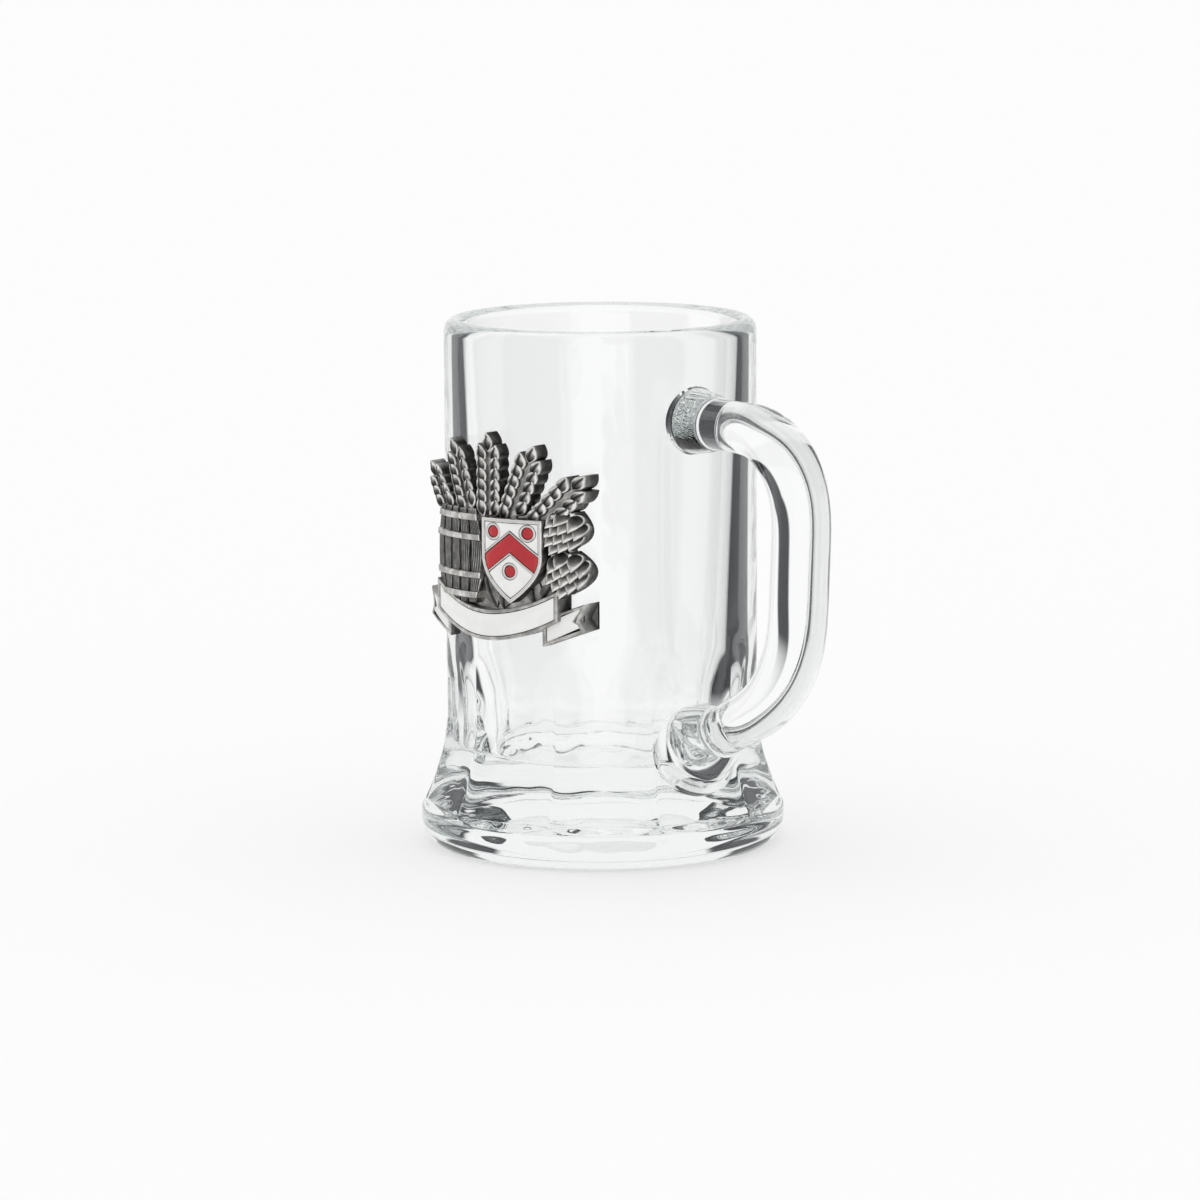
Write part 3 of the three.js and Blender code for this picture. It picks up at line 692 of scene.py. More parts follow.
def badge_object(name, forms, material):
    """One mesh of several closed forms, with their wear and painted shade kept for the finish."""
    points, faces, wear_and_shade = [], [], []
    count = 0
    for flat, relief, worn_and_shaded, quads in forms:
        points.append(on_glass(flat, relief).reshape(-1, 3))
        wear_and_shade.append(worn_and_shaded.ravel())
        faces.extend([[corner + count for corner in quad] for quad in quads])
        count += worn_and_shaded.size
    mesh = bpy.data.meshes.new(name)
    mesh.from_pydata(np.concatenate(points) * MM, [], faces)
    marks = mesh.attributes.new("wear_and_shade", "FLOAT", "POINT")
    marks.data.foreach_set("value", np.concatenate(wear_and_shade).astype(np.float32))
    made = closed_object(name, mesh, material)
    made.data.set_sharp_from_angle(angle=math.radians(SHARP_METAL))
    return made


def behind_front_forms(x, y):
    """Whether a spot on the badge lies behind the barrel or the shield."""
    on_barrel = abs(x - BARREL_MIDDLE[0]) < BARREL_MID_HALF and y < BARREL_MIDDLE[1] + BARREL_HALF_HEIGHT
    on_shield = abs(x - SHIELD_X) < SHIELD_HALF and y < SHIELD_TOP
    return on_barrel or on_shield


def oval_form(length, width, middle, low, high, finish, bend=OVAL_BEND):
    """A raised form on a pointed oval, whose middle lies at a share of its length."""
    return pillow(pointed_oval(length, width, bend=bend), (0, length * middle), low, high, **finish)


def barley_ear(turn):
    """A flat pointed back with two rows of creased grains and one grain at the tip."""
    def along(flat, distance, side, tilt):
        x = SHEAF_ROOT[0] - math.sin(turn) * distance + math.cos(turn) * side
        y = SHEAF_ROOT[1] + math.cos(turn) * distance + math.sin(turn) * side
        return placed(flat, turn + tilt, x, y)

    back = oval_form(EAR_LENGTH, EAR_WIDTH, OVAL_CREST, BACK_RELIEF, EAR_RELIEF, EAR_FINISH)
    grain = oval_form(GRAIN_LENGTH, GRAIN_WIDTH, GRAIN_CREST, BACK_RELIEF, GRAIN_RELIEF, GRAIN_FINISH)
    step = (EAR_LENGTH - GRAIN_LENGTH + TIP_OVERHANG) / GRAIN_ROWS
    pairs = [(row, side) for row in range(GRAIN_ROWS) for side in (-1, 1)]
    spots = [(row * step, side * GRAIN_OFFSET, -side * GRAIN_TILT) for row, side in pairs]
    spots.append((GRAIN_ROWS * step, 0, 0))
    forms = [(along(back[0], EAR_START, 0, 0), *back[1:])]
    for up, side, tilt in spots:
        flat = along(grain[0], EAR_START + up, side, tilt)
        if not behind_front_forms(*flat[0, 0]):
            forms.append((flat, *grain[1:]))
    return forms


def barrel_front():
    """A bulged front of staves: round across, with a groove between staves and a raised band at each hoop."""
    across, up = np.meshgrid(np.linspace(-1, 1, 111), np.linspace(-1, 1, 141))
    half = BARREL_END_HALF + (BARREL_MID_HALF - BARREL_END_HALF) * (1 - up**2)
    flat = np.stack([BARREL_MIDDLE[0] + across * half, BARREL_MIDDLE[1] + up * BARREL_HALF_HEIGHT], axis=-1)
    crown = -BARREL_CROWN * (1 - np.sqrt(1 - (CROWN_REACH * across) ** 2))
    stave = (across + 1) * STAVE_COUNT / 2
    to_groove = np.abs((stave + 0.5) % 1 - 0.5) * 2 * BARREL_MID_HALF / STAVE_COUNT
    inner = np.abs(across) < 1 - 0.5 / STAVE_COUNT
    groove = np.exp(-((to_groove / GROOVE_WIDTH) ** 2)) * inner
    hoop = np.zeros_like(across)
    rivet = np.zeros_like(across)
    for place in HOOP_PLACES:
        off = np.abs(up - place) * BARREL_HALF_HEIGHT
        hoop = np.maximum(hoop, 1 - smooth_step(off, HOOP_WIDTH / 2 - HOOP_SOFTNESS, HOOP_WIDTH / 2))
        spot = np.hypot(off, (across - RIVET_PLACE) * half)
        rivet = np.maximum(rivet, np.sqrt(np.clip(1 - (spot / RIVET_RADIUS) ** 2, 0, 1)))
    sway = 3 * np.sin(up * 4 + across * 5)
    grain = WOOD_RELIEF * np.sin(across * WOOD_LINES + sway) * (1 - hoop)
    relief = BARREL_RELIEF + crown + grain - GROOVE_DEPTH * groove * (1 - hoop)
    relief = relief + HOOP_RELIEF * hoop + RIVET_RELIEF * rivet
    edge = np.clip((1 - np.maximum(np.abs(across), np.abs(up))) / BARREL_EDGE, 0, 1)
    wear_and_shade = STAVE_WEAR + WOOD_WEAR * grain - GROOVE_WEAR * groove * (1 - hoop)
    wear_and_shade = wear_and_shade + HOOP_WEAR * hoop + RIVET_WEAR * rivet + EDGE_WEAR * (1 - edge)
    rounded = EDGE_DROP * (1 - np.sqrt(1 - (1 - edge) ** 2))
    return carpet(flat, relief - rounded, np.clip(wear_and_shade, 0, 1), BACK_RELIEF)


def hop_cone(x, y, turn):
    """A hanging cone: an oval back under rows of ribbed scales that overlap like tiles."""
    root_x = x + math.sin(turn) * CONE_LENGTH / 2
    root_y = y - math.cos(turn) * CONE_LENGTH / 2
    back = oval_form(CONE_LENGTH, CONE_WIDTH, OVAL_CREST, BACK_RELIEF, CONE_RELIEF, CONE_FINISH)
    scale_low = CONE_RELIEF - SCALE_ROOT
    scale_size = (SCALE_LENGTH, SCALE_WIDTH, SCALE_CREST)
    scale = oval_form(*scale_size, scale_low, SCALE_RELIEF, SCALE_FINISH, SCALE_BEND)
    row_step = (CONE_LENGTH - SCALE_LENGTH + TIP_OVERHANG) / (len(CONE_ROWS) - 1)
    forms = [(placed(back[0], turn, root_x, root_y), *back[1:])]
    for row, count in enumerate(CONE_ROWS):
        out = (row + SCALE_START) * row_step - SCALE_START
        for place in range(count):
            off = place - (count - 1) / 2
            side = off * SCALE_SPACING
            foot_x = root_x - math.sin(turn) * out + math.cos(turn) * side
            foot_y = root_y + math.cos(turn) * out + math.sin(turn) * side
            rise = SCALE_RISE - SCALE_SIDE_FALL * off**2 - SCALE_ROW_FALL * row
            higher = scale[1] + (scale[1] > scale_low + LEVEL_SLACK) * rise
            forms.append((placed(scale[0], turn - SCALE_FAN * off, foot_x, foot_y), higher, *scale[2:]))
    return forms


def leaf(x, y, turn, length):
    """A small leaf on the plate with a creased middle."""
    form = oval_form(length, LEAF_WIDTH, GRAIN_CREST, BACK_RELIEF, LEAF_RELIEF, LEAF_FINISH)
    return placed(form[0], turn, x, y), form[1], form[2] * LEAF_WEAR, form[3]


def shield_half(y, edge):
    """Half the shield's width at a height, inside its rim: straight sides over two curves to the point."""
    share = np.linspace(0, 1, 80)
    half = SHIELD_HALF - edge
    point = SHIELD_POINT + edge * POINT_INSET
    side = 2 * share * (1 - share) * half * SHIELD_BELLY + share**2 * half
    bend = share * (1 - share) * (SHIELD_SHOULDER + point)
    rise = point * (1 - share) ** 2 + bend + share**2 * SHIELD_SHOULDER
    return np.interp(y, rise, side)


def shield_outline(edge):
    """The shield drawn anticlockwise from its point, with close points at its two top corners."""
    climb = SHIELD_SHOULDER - SHIELD_POINT - edge * POINT_INSET
    low = SHIELD_POINT + edge * POINT_INSET + climb * np.linspace(0, 1, 40) ** POINT_CROWDING
    high = np.linspace(SHIELD_SHOULDER, SHIELD_TOP - edge - CORNER_STEP, 16)[1:]
    rise = np.concatenate([low, high])
    right = np.stack([shield_half(rise, edge), rise], axis=1)
    top_half = SHIELD_HALF - edge - CORNER_STEP
    top = np.linspace(top_half, -top_half, 24)
    lid = np.stack([top, np.full_like(top, SHIELD_TOP - edge)], axis=1)
    left = right[::-1][:-1] * [-1, 1]
    return np.concatenate([right, lid, left]) + [SHIELD_X, 0]


def wall_line(level):
    """A thin raised line along the chevron at a height above its middle line."""
    half = SHIELD_HALF - CELL_RIM / 2
    x, off = np.meshgrid(np.linspace(-half, half, 61), np.linspace(-1, 1, 9))
    y = CHEVRON_PEAK + level - CHEVRON_SLOPE * np.abs(x) + off * CELL_WALL / 2
    x = np.clip(x, -shield_half(y, CELL_RIM / 2), shield_half(y, CELL_RIM / 2))
    relief = SHIELD_RELIEF - LINE_ROUND * (1 - np.sqrt(np.clip(1 - off**2, 0, 1)))
    flat = np.stack([x + SHIELD_X, y], axis=-1)
    return carpet(flat, relief, 1 - 0.5 * off**2, SHIELD_RELIEF - CELL_DEPTH - CELL_SINK)


def roundel_outline(x, y, radius):
    """A circle at a place on the shield."""
    return ellipse((SHIELD_X + x, y), (radius, radius), ROUND_SIDES)


def shield_metal():
    """The shield's floor, its rim, and the thin lines round its enamel cells."""
    floor = SHIELD_RELIEF - CELL_DEPTH
    bottom = shield_outline(CELL_FLOOR_INSET)
    forms = [
        pillow(bottom, (SHIELD_X, SHIELD_MIDDLE), BACK_RELIEF, floor, THIN_BEVEL, 0.0),
        border(shield_outline(0.0), CELL_RIM, BACK_RELIEF, SHIELD_RELIEF, RIM_BEVEL),
    ]
    forms += [wall_line(side * (CHEVRON_HALF + CELL_WALL / 2)) for side in (-1, 1)]
    rings = [roundel_outline(x, y, ROUNDEL_RADIUS + CELL_WALL) for x, y in ROUNDELS.values()]
    return forms + [border(ring, CELL_WALL, floor - CELL_SINK, SHIELD_RELIEF, RING_BEVEL) for ring in rings]


def ribbon_bow(x):
    """Height of the ribbon's upper edge: a parabola that hangs between its ends."""
    return RIBBON_END - RIBBON_SAG / 2 + RIBBON_SAG / 2 * (x / RIBBON_HALF) ** 2


def ribbon_wave(x):
    """How the ribbon's face rolls in and out along its length."""
    return RIBBON_ROLL * np.cos(x / RIBBON_HALF * ROLL_WAVES * math.pi)


def edged_steps(half, fine):
    """Places from -half to half, with close steps over the rim at both ends."""
    rim = np.array(RIM_STEPS)
    middle = np.linspace(-half + rim[-1], half - rim[-1], fine)
    return np.concatenate([rim - half, middle[1:-1], half - rim[::-1]])


def rim_profile(to_edge):
    """Relief of a rim and its cell, by the distance from the edge: a rounded line, then a step down."""
    off = np.clip(np.abs(to_edge - CELL_RIM / 2) / (CELL_RIM / 2), 0, 1)
    inside = smooth_step(to_edge, CELL_RIM - RIM_STEP, CELL_RIM + RIM_STEP)
    return -RIM_ROUND * (1 - np.sqrt(1 - off**2 * RIM_STEEPNESS)) * (1 - inside) - CELL_DEPTH * inside


def ribbon_metal():
    """A strip that follows the bow: a rounded rim all round a sunk floor."""
    x, off = np.meshgrid(edged_steps(RIBBON_HALF, 90), edged_steps(RIBBON_HEIGHT / 2, 12))
    flat = np.stack([x, ribbon_bow(x) - RIBBON_HEIGHT / 2 + off], axis=-1)
    to_edge = np.minimum(RIBBON_HALF - np.abs(x), RIBBON_HEIGHT / 2 - np.abs(off))
    wear_and_shade = np.where(to_edge < CELL_RIM, RIM_WEAR, 0.0)
    return carpet(flat, RIBBON_RELIEF + ribbon_wave(x) + rim_profile(to_edge), wear_and_shade, BACK_RELIEF)


def fill(flat, crown, rim_relief):
    """Enamel in a cell: a straight wall under a face that starts below the rim and swells by the crown."""
    relief = rim_relief - FILL_DROP
    return carpet(flat, relief + crown, np.zeros_like(crown), relief - FILL_DEPTH)


def ribbon_fill():
    """White enamel along the ribbon, which rolls in and out with it."""
    edge = CELL_RIM + FILL_GAP
    share, rise = np.meshgrid(np.linspace(-1, 1, 81), np.linspace(-1, 1, 17))
    x = share * (RIBBON_HALF - edge)
    flat = np.stack([x, ribbon_bow(x) - RIBBON_HEIGHT / 2 + rise * (RIBBON_HEIGHT / 2 - edge)], axis=-1)
    crown = ribbon_wave(x) + FILL_SWELL * (1 - rise**4) * (1 - share**20) - RIBBON_SINK
    return fill(flat, crown, RIBBON_RELIEF)


def tail_grid(side, edge, steps):
    """Points across a tail: its two long sides are straight, and its end is notched like a V."""
    low = ribbon_bow(TAIL_INNER) - TAIL_DROP - TAIL_HEIGHT + edge
    inner, outer, notch = TAIL_INNER + edge, TAIL_OUTER - edge, TAIL_NOTCH - edge * NOTCH_INSET
    along, up = np.meshgrid(np.linspace(0, 1, 3 * steps), np.linspace(0, 1, 2 * steps + 1))
    end_x = outer + (notch - outer) * (1 - np.abs(2 * up - 1))
    x = inner + (end_x - inner) * along
    y = low + (TAIL_HEIGHT - 2 * edge) * up + TAIL_RISE * (x - inner) / (outer - inner)
    return np.stack([side * x, y], axis=-1), along, up


def tail_curl(along):
    """How a tail leans out towards its end."""
    return TAIL_CURL * (along - TAIL_FLAT)


def tail_metal(side):
    """A swallow-tailed end of the ribbon: a rounded rim all round a sunk floor."""
    flat, along, up = tail_grid(side, 0.0, 14)
    to_side = np.minimum(up, 1 - up) * TAIL_HEIGHT
    to_edge = np.minimum(np.minimum(along, 1 - along) * (TAIL_NOTCH - TAIL_INNER), to_side)
    wear_and_shade = np.where(to_edge < CELL_RIM, RIM_WEAR, 0.0)
    return carpet(flat, TAIL_RELIEF + tail_curl(along) + rim_profile(to_edge), wear_and_shade, BACK_RELIEF)


def tail_fill(side):
    """White enamel in a tail."""
    flat, along, up = tail_grid(side, CELL_RIM + FILL_GAP, 10)
    swell = TAIL_SWELL * (1 - (2 * up - 1) ** 4) * (1 - (2 * along - 1) ** 10)
    return fill(flat, tail_curl(along) + swell - FILL_SINK, TAIL_RELIEF)


def shield_fill(low_line, high_line, half):
    """Enamel between two lines across the shield, each a height for every distance from its middle."""
    share, rise = np.meshgrid(np.linspace(-1, 1, 61), np.linspace(0, 1, 25))
    x = share * half
    low, high = low_line(np.abs(x)), high_line(np.abs(x))
    flat = np.stack([x + SHIELD_X, low + (high - low) * rise], axis=-1)
    crown = FILL_SWELL * (1 - (2 * rise - 1) ** 4) * (1 - share**8) - FILL_SINK
    return fill(flat, crown, SHIELD_RELIEF)


def chevron_line(level):
    """The height of a line along the chevron, by the distance from the shield's middle."""
    return lambda x: CHEVRON_PEAK + level - CHEVRON_SLOPE * x


def meeting(level, edge):
    """How far out a line along the chevron meets the shield's curved side."""
    x = np.linspace(0, SHIELD_HALF - edge, 200)
    spare = shield_half(chevron_line(level)(x), edge) - x
    return float(np.interp(0, spare[::-1], x[::-1]))


def chevron_fill():
    """The red band: each line along it runs out to the shield's side, which is straight or curved there."""
    edge = CELL_RIM + FILL_GAP
    levels = np.linspace(-CHEVRON_HALF + FILL_GAP, CHEVRON_HALF - FILL_GAP, 17)
    half = np.array([meeting(level, edge) for level in levels])
    share, level = np.meshgrid(np.linspace(-1, 1, 81), levels)
    x = share * half[:, None]
    flat = np.stack([x + SHIELD_X, CHEVRON_PEAK + level - CHEVRON_SLOPE * np.abs(x)], axis=-1)
    crown = FILL_SWELL * (1 - (level / levels[-1]) ** 4) * (1 - share**12) - FILL_SINK
    return fill(flat, crown, SHIELD_RELIEF)


def roundel_form(x, y, radius, low, high, dome):
    """A domed disc at a place on the shield."""
    return pillow(roundel_outline(x, y, radius), (SHIELD_X + x, y), low, high, SHARP_BEVEL, dome)


def with_holes(made, places):
    """Cuts the round places of the roundels and their rings out of an enamel field."""
    radius = ROUNDEL_RADIUS + CELL_WALL + FILL_GAP
    drills = [roundel_form(x, y, radius, PLATE_RELIEF, SHIELD_RELIEF + 1, 0) for x, y in places]
    drill = badge_object("drill", drills, made.data.materials[0])
    return combined(made.name, made, drill, made.data.materials[0], "DIFFERENCE", SHARP_METAL)


def new_material(name):
    """A node material with an empty Principled shader, and the shader."""
    material = bpy.data.materials.new(name)
    material.use_nodes = True
    return material, material.node_tree.nodes["Principled BSDF"]


def noise_node(tree, scale, detail=3.0):
    """Noise over the object's own coordinates, in features per metre."""
    node = tree.nodes.new("ShaderNodeTexNoise")
    tree.links.new(tree.nodes.new("ShaderNodeTexCoord").outputs["Object"], node.inputs["Vector"])
    node.inputs["Scale"].default_value = scale
    node.inputs["Detail"].default_value = detail
    return node.outputs["Fac"]


def colour_ramp(tree, value, stops):
    """A colour for each share along a value."""
    node = tree.nodes.new("ShaderNodeValToRGB")
    tree.links.new(value, node.inputs["Fac"])
    ramp = node.color_ramp
    while len(ramp.elements) < len(stops):
        ramp.elements.new(0.5)
    for element, (place, colour) in zip(ramp.elements, stops):
        element.position = place
        element.color = (*colour, 1)
    return node.outputs["Color"]


def add_bump(tree, shader, height, strength, depth):
    """Fine unevenness of a face, with a depth in millimetres."""
    node = tree.nodes.new("ShaderNodeBump")
    node.inputs["Strength"].default_value = strength
    node.inputs["Distance"].default_value = depth * MM
    tree.links.new(height, node.inputs["Height"])
    tree.links.new(node.outputs["Normal"], shader.inputs["Normal"])


def clear_glass():
    """Polished clear glass with a faint tint in its volume."""
    material, shader = new_material("clear_pressed_glass")
    shader.inputs["Base Color"].default_value = GLASS_COLOUR
    shader.inputs["Roughness"].default_value = 0.0
    shader.inputs["IOR"].default_value = 1.51
    shader.inputs["Transmission Weight"].default_value = 1.0
    tree = material.node_tree
    tint = tree.nodes.new("ShaderNodeVolumeAbsorption")
    tint.inputs["Color"].default_value = GLASS_TINT
    tint.inputs["Density"].default_value = TINT_DENSITY
    tree.links.new(tint.outputs["Volume"], tree.nodes["Material Output"].inputs["Volume"])
    return material


def antiqued_pewter():
    """Cast pewter: blackened in the hollows, burnished bright where the wear is high, and dark with painted
    shade at the roots of lifted scales and grains.
    """
    material, shader = new_material("antiqued_pewter")
    tree = material.node_tree
    wear_and_shade = tree.nodes.new("ShaderNodeAttribute")
    wear_and_shade.attribute_name = "wear_and_shade"
    mottled = math_node(tree, "MULTIPLY", math_node(tree, "SUBTRACT", noise_node(tree, 900, 5), 0.5), 0.55)
    rubbed_and_shaded = math_node(tree, "ADD", wear_and_shade.outputs["Fac"], mottled)
    colour = colour_ramp(tree, rubbed_and_shaded, (
        (0.05, (0.024, 0.024, 0.025)),
        (0.45, (0.115, 0.113, 0.108)),
        (0.72, (0.36, 0.355, 0.34)),
        (0.95, (0.84, 0.83, 0.81)),
    ))
    tree.links.new(colour, shader.inputs["Base Color"])
    rough = math_node(tree, "SUBTRACT", 0.52, math_node(tree, "MULTIPLY", rubbed_and_shaded, 0.26))
    tree.links.new(rough, shader.inputs["Roughness"])
    shader.inputs["Metallic"].default_value = 1.0
    add_bump(tree, shader, noise_node(tree, 5200, 4), 0.35, 0.05)
    return material


def soft_enamel(name, deep, plain):
    """Glossy fill with a slow change of tone and a faint orange-peel face."""
    material, shader = new_material(name)
    tree = material.node_tree
    tone = colour_ramp(tree, noise_node(tree, 420, 3), ((0.3, deep), (0.7, plain)))
    tree.links.new(tone, shader.inputs["Base Color"])
    shader.inputs["Roughness"].default_value = 0.12
    shader.inputs["Coat Weight"].default_value = 0.3
    shader.inputs["Coat Roughness"].default_value = 0.05
    add_bump(tree, shader, noise_node(tree, 1500, 2), 0.1, 0.03)
    return material


def cured_glue():
    """Dull grey-white glue with a slow change of tone."""
    material, shader = new_material("cured_glue")
    tree = material.node_tree
    tone = colour_ramp(tree, noise_node(tree, 700, 4), ((0.3, (0.55, 0.54, 0.5)), (0.7, (0.72, 0.71, 0.67))))
    tree.links.new(tone, shader.inputs["Base Color"])
    shader.inputs["Roughness"].default_value = 0.55
    add_bump(tree, shader, noise_node(tree, 1800, 3), 0.3, 0.05)
    return material


def make_camera():
    """Looks at the mug's axis from the photograph's side, with the photograph's small roll."""
    right = Vector((math.cos(CAMERA_AZIMUTH), math.sin(CAMERA_AZIMUTH), 0))
    away = Vector((-math.sin(CAMERA_AZIMUTH), math.cos(CAMERA_AZIMUTH), 0))
    forward = away * math.cos(CAMERA_ELEVATION) - Vector((0, 0, math.sin(CAMERA_ELEVATION)))
    up = right.cross(forward)
    aim = Vector((AXIS_X, 0, CAMERA_AIM[1])) + right * CAMERA_AIM[0]
    cos, sin = math.cos(CAMERA_ROLL), math.sin(CAMERA_ROLL)
    turned_right, turned_up = right * cos + up * sin, up * cos - right * sin
    data = bpy.data.cameras.new("camera")
    data.sensor_width = SENSOR
    data.lens = FOCAL_PIXELS / FRAME_PIXELS * SENSOR
    data.clip_start, data.clip_end = 0.01, 100
    camera = bpy.data.objects.new("camera", data)
    bpy.context.scene.collection.objects.link(camera)
    place = Matrix((turned_right, turned_up, -forward)).transposed().to_4x4()
    place.translation = (aim - forward * CAMERA_DISTANCE) * MM
    camera.matrix_world = place
    bpy.context.scene.camera = camera


def math_node(tree, operation, first, second=0.0):
    """A Math node whose inputs are sockets or plain numbers, and its output."""
    node = tree.nodes.new("ShaderNodeMath")
    node.operation = operation
    for socket, value in zip(node.inputs, (first, second)):
        if isinstance(value, bpy.types.NodeSocket):
            tree.links.new(value, socket)
        else:
            socket.default_value = value
    return node.outputs[0]


def ramp_node(tree, value, low, high):
    """A smooth rise from 0 at low to 1 at high."""
    node = tree.nodes.new("ShaderNodeMapRange")
    node.interpolation_type = "SMOOTHSTEP"
    tree.links.new(value, node.inputs["Value"])
    node.inputs["From Min"].default_value = low
    node.inputs["From Max"].default_value = high
    return node.outputs["Result"]


def flag_shares(tree, place):
    """How far a direction from the mug lies on a wide dark flag, and on a strip at its inner edge.

    The flags are upright and set by the sine of the angle away from the camera's line through the mug.
    Behind the mug the left one is cut short, and the others reach all the way to the side. The strips
    stand only behind the mug.
    """
    parts = tree.nodes.new("ShaderNodeSeparateXYZ")
    tree.links.new(place, parts.inputs[0])
    x, y = parts.outputs["X"], parts.outputs["Y"]
    aside = math_node(tree, "ADD", math_node(tree, "MULTIPLY", x, math.cos(CAMERA_AZIMUTH)),
                      math_node(tree, "MULTIPLY", y, math.sin(CAMERA_AZIMUTH)))
    reach = math_node(tree, "SQRT", math_node(tree, "ADD", math_node(tree, "POWER", x, 2.0),
                                              math_node(tree, "POWER", y, 2.0)))
    ahead = math_node(tree, "SUBTRACT", math_node(tree, "MULTIPLY", y, math.cos(CAMERA_AZIMUTH)),
                      math_node(tree, "MULTIPLY", x, math.sin(CAMERA_AZIMUTH)))
    sine = math_node(tree, "DIVIDE", aside, reach)
    cosine = math_node(tree, "DIVIDE", ahead, reach)
    size = math_node(tree, "ABSOLUTE", sine)
    inner = ramp_node(tree, size, *FLAG_INNER)
    right = ramp_node(tree, sine, -FLAG_OUTER[1], -FLAG_OUTER[0])
    front = math_node(tree, "SUBTRACT", 1.0, ramp_node(tree, cosine, *FLAG_SIDE))
    wide = math_node(tree, "MULTIPLY", inner, math_node(tree, "MAXIMUM", right, front))
    near_line = math_node(tree, "SUBTRACT", 1.0, ramp_node(tree, size, *STRIP_OUTER))
    behind = math_node(tree, "GREATER_THAN", cosine, 0.0)
    strip = math_node(tree, "MULTIPLY", inner, math_node(tree, "MULTIPLY", near_line, behind))
    return wide, strip


def background_level(tree, place, far=1.0):
    """White, or the dark colour of a flag where a ray that glass or metal turned meets one far from the mug.

    A ray mirrored inside the glass sees the wide flags, and one mirrored by metal sees them faintly. A ray
    that only crossed the handle, or one wall, sees the strip. Any other sees plain white.
    """
    wide, strip = flag_shares(tree, place)
    path = tree.nodes.new("ShaderNodeLightPath").outputs
    mirrored = math_node(tree, "GREATER_THAN", path["Glossy Depth"], 0.5)
    inside = math_node(tree, "GREATER_THAN", path["Transmission Depth"], 0.5)
    few_faces = math_node(tree, "LESS_THAN", path["Transmission Depth"], FEW_FACES)
    strength = math_node(tree, "ADD", METAL_SHARE, math_node(tree, "MULTIPLY", inside, 1 - METAL_SHARE))
    seen_wide = math_node(tree, "MULTIPLY", wide, math_node(tree, "MULTIPLY", mirrored, strength))
    seen_strip = math_node(tree, "MULTIPLY", strip, math_node(tree, "MULTIPLY", few_faces, inside))
    bounced = math_node(tree, "MAXIMUM", path["Is Glossy Ray"], path["Is Transmission Ray"])
    dark = math_node(tree, "MULTIPLY", math_node(tree, "MAXIMUM", seen_wide, seen_strip), bounced)
    dark = math_node(tree, "MULTIPLY", dark, far)
    return colour_ramp(tree, dark, ((0.0, (WHITE_LEVEL,) * 3), (1.0, FLAG_COLOUR)))


def make_floor():
    """A wide pale floor that glows a little and takes the mug's soft shadow on the rest of its white.

    Through glass it shows less of the shadow.
    """
    mesh = bpy.data.meshes.new("floor")
    corners = [(x * FLOOR_HALF, y * FLOOR_HALF, 0) for x, y in ((-1, -1), (1, -1), (1, 1), (-1, 1))]
    mesh.from_pydata(corners, [], [(0, 1, 2, 3)])
    floor = bpy.data.objects.new("floor", mesh)
    bpy.context.scene.collection.objects.link(floor)
    material = bpy.data.materials.new("white_table")
    material.use_nodes = True
    tree = material.node_tree
    tree.nodes.clear()
    spot = tree.nodes.new("ShaderNodeTexCoord").outputs["Object"]
    from_axis = tree.nodes.new("ShaderNodeVectorMath")
    from_axis.operation = "SUBTRACT"
    tree.links.new(spot, from_axis.inputs[0])
    from_axis.inputs[1].default_value = (AXIS_X * MM, 0, 0)
    distance = tree.nodes.new("ShaderNodeVectorMath")
    distance.operation = "LENGTH"
    tree.links.new(from_axis.outputs[0], distance.inputs[0])
    far = ramp_node(tree, distance.outputs["Value"], *FLAG_DISTANCE)
    level = background_level(tree, from_axis.outputs[0], far)
    paper = tree.nodes.new("ShaderNodeBsdfDiffuse")
    glow = tree.nodes.new("ShaderNodeEmission")
    through = tree.nodes.new("ShaderNodeLightPath").outputs["Is Transmission Ray"]
    spared = math_node(tree, "MULTIPLY", through, FLOOR_PAPER - PAPER_THROUGH_GLASS)
    paper_share = math_node(tree, "SUBTRACT", FLOOR_PAPER, spared)
    glow_share = math_node(tree, "SUBTRACT", 1.0, paper_share)
    for share, shader in ((paper_share, paper), (glow_share, glow)):
        part = tree.nodes.new("ShaderNodeVectorMath")
        part.operation = "SCALE"
        tree.links.new(level, part.inputs[0])
        tree.links.new(share, part.inputs["Scale"])
        tree.links.new(part.outputs[0], shader.inputs["Color"])
    both = tree.nodes.new("ShaderNodeAddShader")
    tree.links.new(paper.outputs[0], both.inputs[0])
    tree.links.new(glow.outputs[0], both.inputs[1])
    tree.links.new(both.outputs[0], tree.nodes.new("ShaderNodeOutputMaterial").inputs["Surface"])
    mesh.materials.append(material)


def make_world():
    """White all round for plain light, with the flags for turned rays."""
    world = bpy.data.worlds.new("studio")
    world.use_nodes = True
    tree = world.node_tree
    level = background_level(tree, tree.nodes.new("ShaderNodeTexCoord").outputs["Generated"])
    tree.links.new(level, tree.nodes["Background"].inputs["Color"])
    bpy.context.scene.world = world


def dress(piece, slot, *nodes):
    """Hides the parts that a piece replaces and hangs the piece on the root body; the slot is not used."""
    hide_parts(*nodes)
    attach(piece, "root")


make_camera()
make_floor()
make_world()
bpy.context.scene.view_settings.view_transform = "Standard"
for bounces in ("max_bounces", "transmission_bounces", "glossy_bounces"):
    setattr(bpy.context.scene.cycles, bounces, GLASS_BOUNCES)

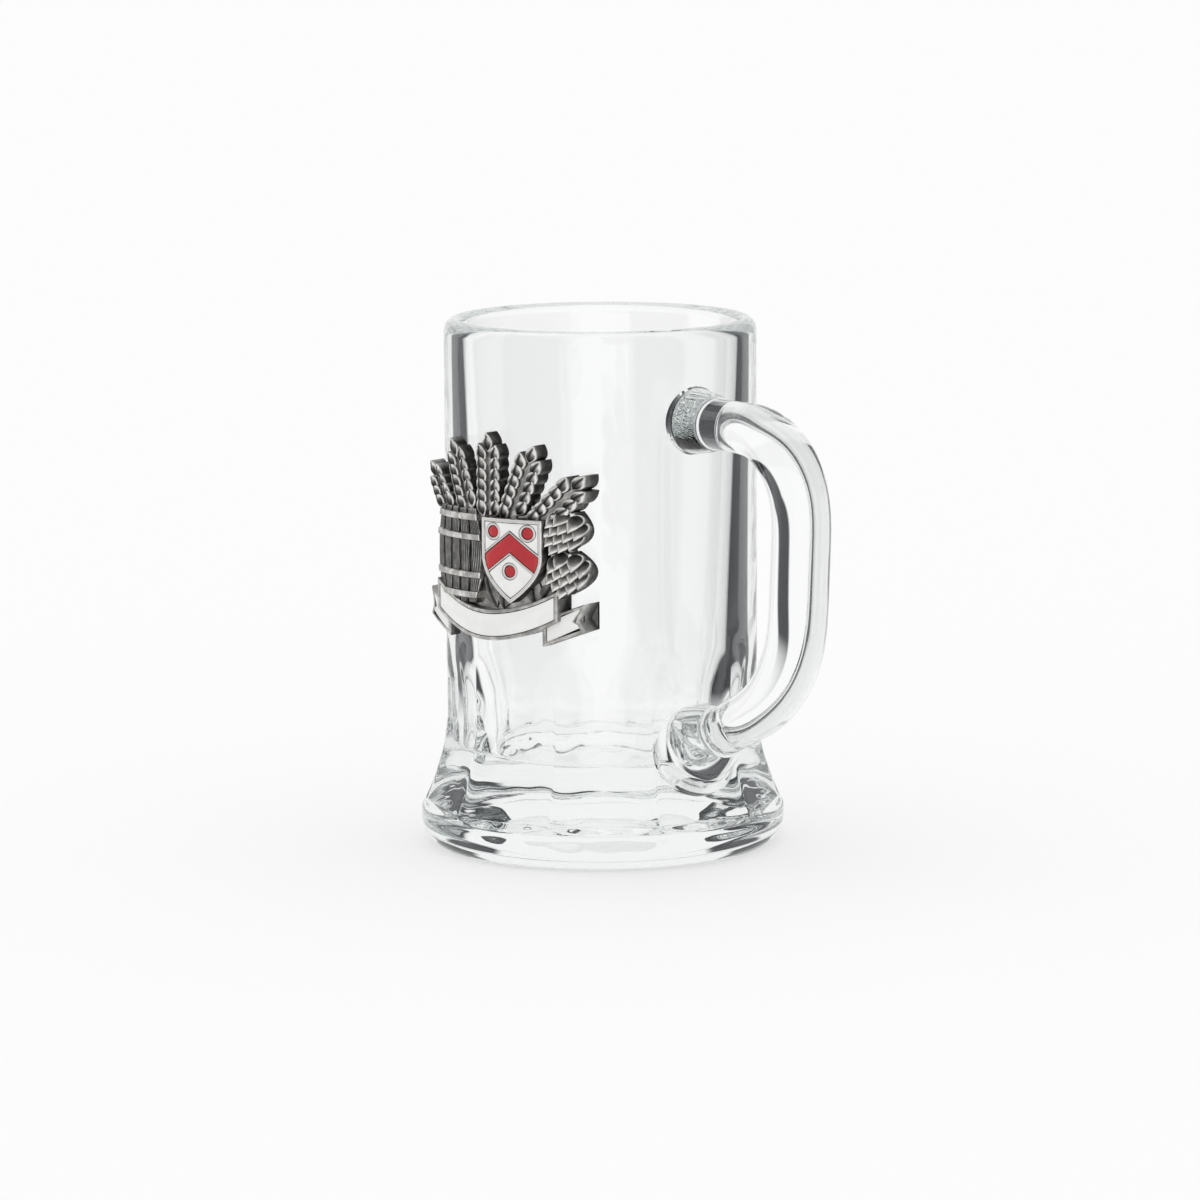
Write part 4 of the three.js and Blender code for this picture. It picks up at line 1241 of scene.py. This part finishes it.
glass = clear_glass()
line_length = handle_line()[1][-1]
upper_joint, lower_joint = BOSS_ROOT + UPPER_BOSS_REACH, line_length - BOSS_ROOT - LOWER_BOSS_REACH
upper_boss = swept("upper_boss", 0, upper_joint, upper_boss_radius, glass)
lower_boss = swept("lower_boss", lower_joint, line_length, lower_boss_radius, glass, start_dome=JOINT_DOME)
body = combined("body_with_boss", glass_body(glass), upper_boss, glass, "UNION", SHARP_GLASS)
dress(combined("mug_glass", body, lower_boss, glass, "UNION", SHARP_GLASS), "glass", "mug_body")
rod_start, rod_end = upper_joint + JOINT_GAP, lower_joint - JOINT_GAP
rod = swept("handle_rod", rod_start, rod_end, rod_radius, glass, end_dome=JOINT_DOME)
dress(rod, "glass", "handle")

pewter = antiqued_pewter()
plate = ellipse(PLATE_MIDDLE, PLATE_HALF, 120)
forms = [pillow(plate, PLATE_MIDDLE, BACK_RELIEF, PLATE_RELIEF, PLATE_BEVEL, 0.0)]
for ear in range(EAR_COUNT):
    forms += barley_ear(EAR_SPREAD * ((EAR_COUNT - 1) / 2 - ear))
forms += [leaf(*place) for place in LEAVES]
forms.append(barrel_front())
for cone in CONES:
    forms += hop_cone(*cone)
forms += shield_metal()
forms += [tail_metal(-1), tail_metal(1), ribbon_metal()]
dress(badge_object("badge_relief", forms, pewter), "pewter", "badge_casting")

white = soft_enamel("white_enamel", (0.80, 0.80, 0.78), (0.88, 0.88, 0.86))
red = soft_enamel("red_enamel", (0.40, 0.012, 0.018), (0.50, 0.02, 0.028))
field_edge = CELL_RIM + FILL_GAP
upper_line = chevron_line(CHEVRON_HALF + CELL_WALL + FILL_GAP)
lower_level = -CHEVRON_HALF - CELL_WALL - FILL_GAP
lower_half = FIELD_SHARE * meeting(lower_level, field_edge)
depths = np.linspace(SHIELD_POINT + field_edge * POINT_INSET, SHIELD_TOP, 300)
top_line = lambda x: np.full_like(x, SHIELD_TOP - field_edge)
foot_line = lambda x: np.interp(x, shield_half(depths, field_edge), depths)
upper = badge_object("upper_field", [shield_fill(upper_line, top_line, SHIELD_HALF - field_edge)], white)
lower = badge_object("lower_field", [shield_fill(foot_line, chevron_line(lower_level), lower_half)], white)
dress(with_holes(upper, (ROUNDELS["left"], ROUNDELS["right"])), "white_enamel", "shield_field_upper")
dress(with_holes(lower, (ROUNDELS["base"],)), "white_enamel", "shield_field_lower")
dress(badge_object("chevron_band", [chevron_fill()], red), "red_enamel", "shield_chevron")
disc_low, disc_high = SHIELD_RELIEF - CELL_DEPTH + FILL_LIFT, SHIELD_RELIEF - FILL_DROP - DISC_DROP
for side, (x, y) in ROUNDELS.items():
    disc = roundel_form(x, y, ROUNDEL_RADIUS - FILL_GAP, disc_low, disc_high, DISC_DOME)
    dress(badge_object("roundel_" + side, [disc], red), "red_enamel", "shield_roundel_" + side)
dress(badge_object("ribbon_face", [ribbon_fill()], white), "white_enamel", "ribbon_enamel")
for side, sign in (("left", -1), ("right", 1)):
    tail = badge_object("tail_face_" + side, [tail_fill(sign)], white)
    dress(tail, "white_enamel", "ribbon_tail_enamel_" + side)

film = ellipse(PLATE_MIDDLE, (PLATE_HALF[0] - GLUE_MARGIN, PLATE_HALF[1] - GLUE_MARGIN), 96)
film_form = pillow(film, PLATE_MIDDLE, *GLUE_RELIEF, THIN_BEVEL, 0.0)
dress(badge_object("glue_film", [film_form], cured_glue()), "adhesive", "badge_adhesive")

bpy.context.view_layer.update()
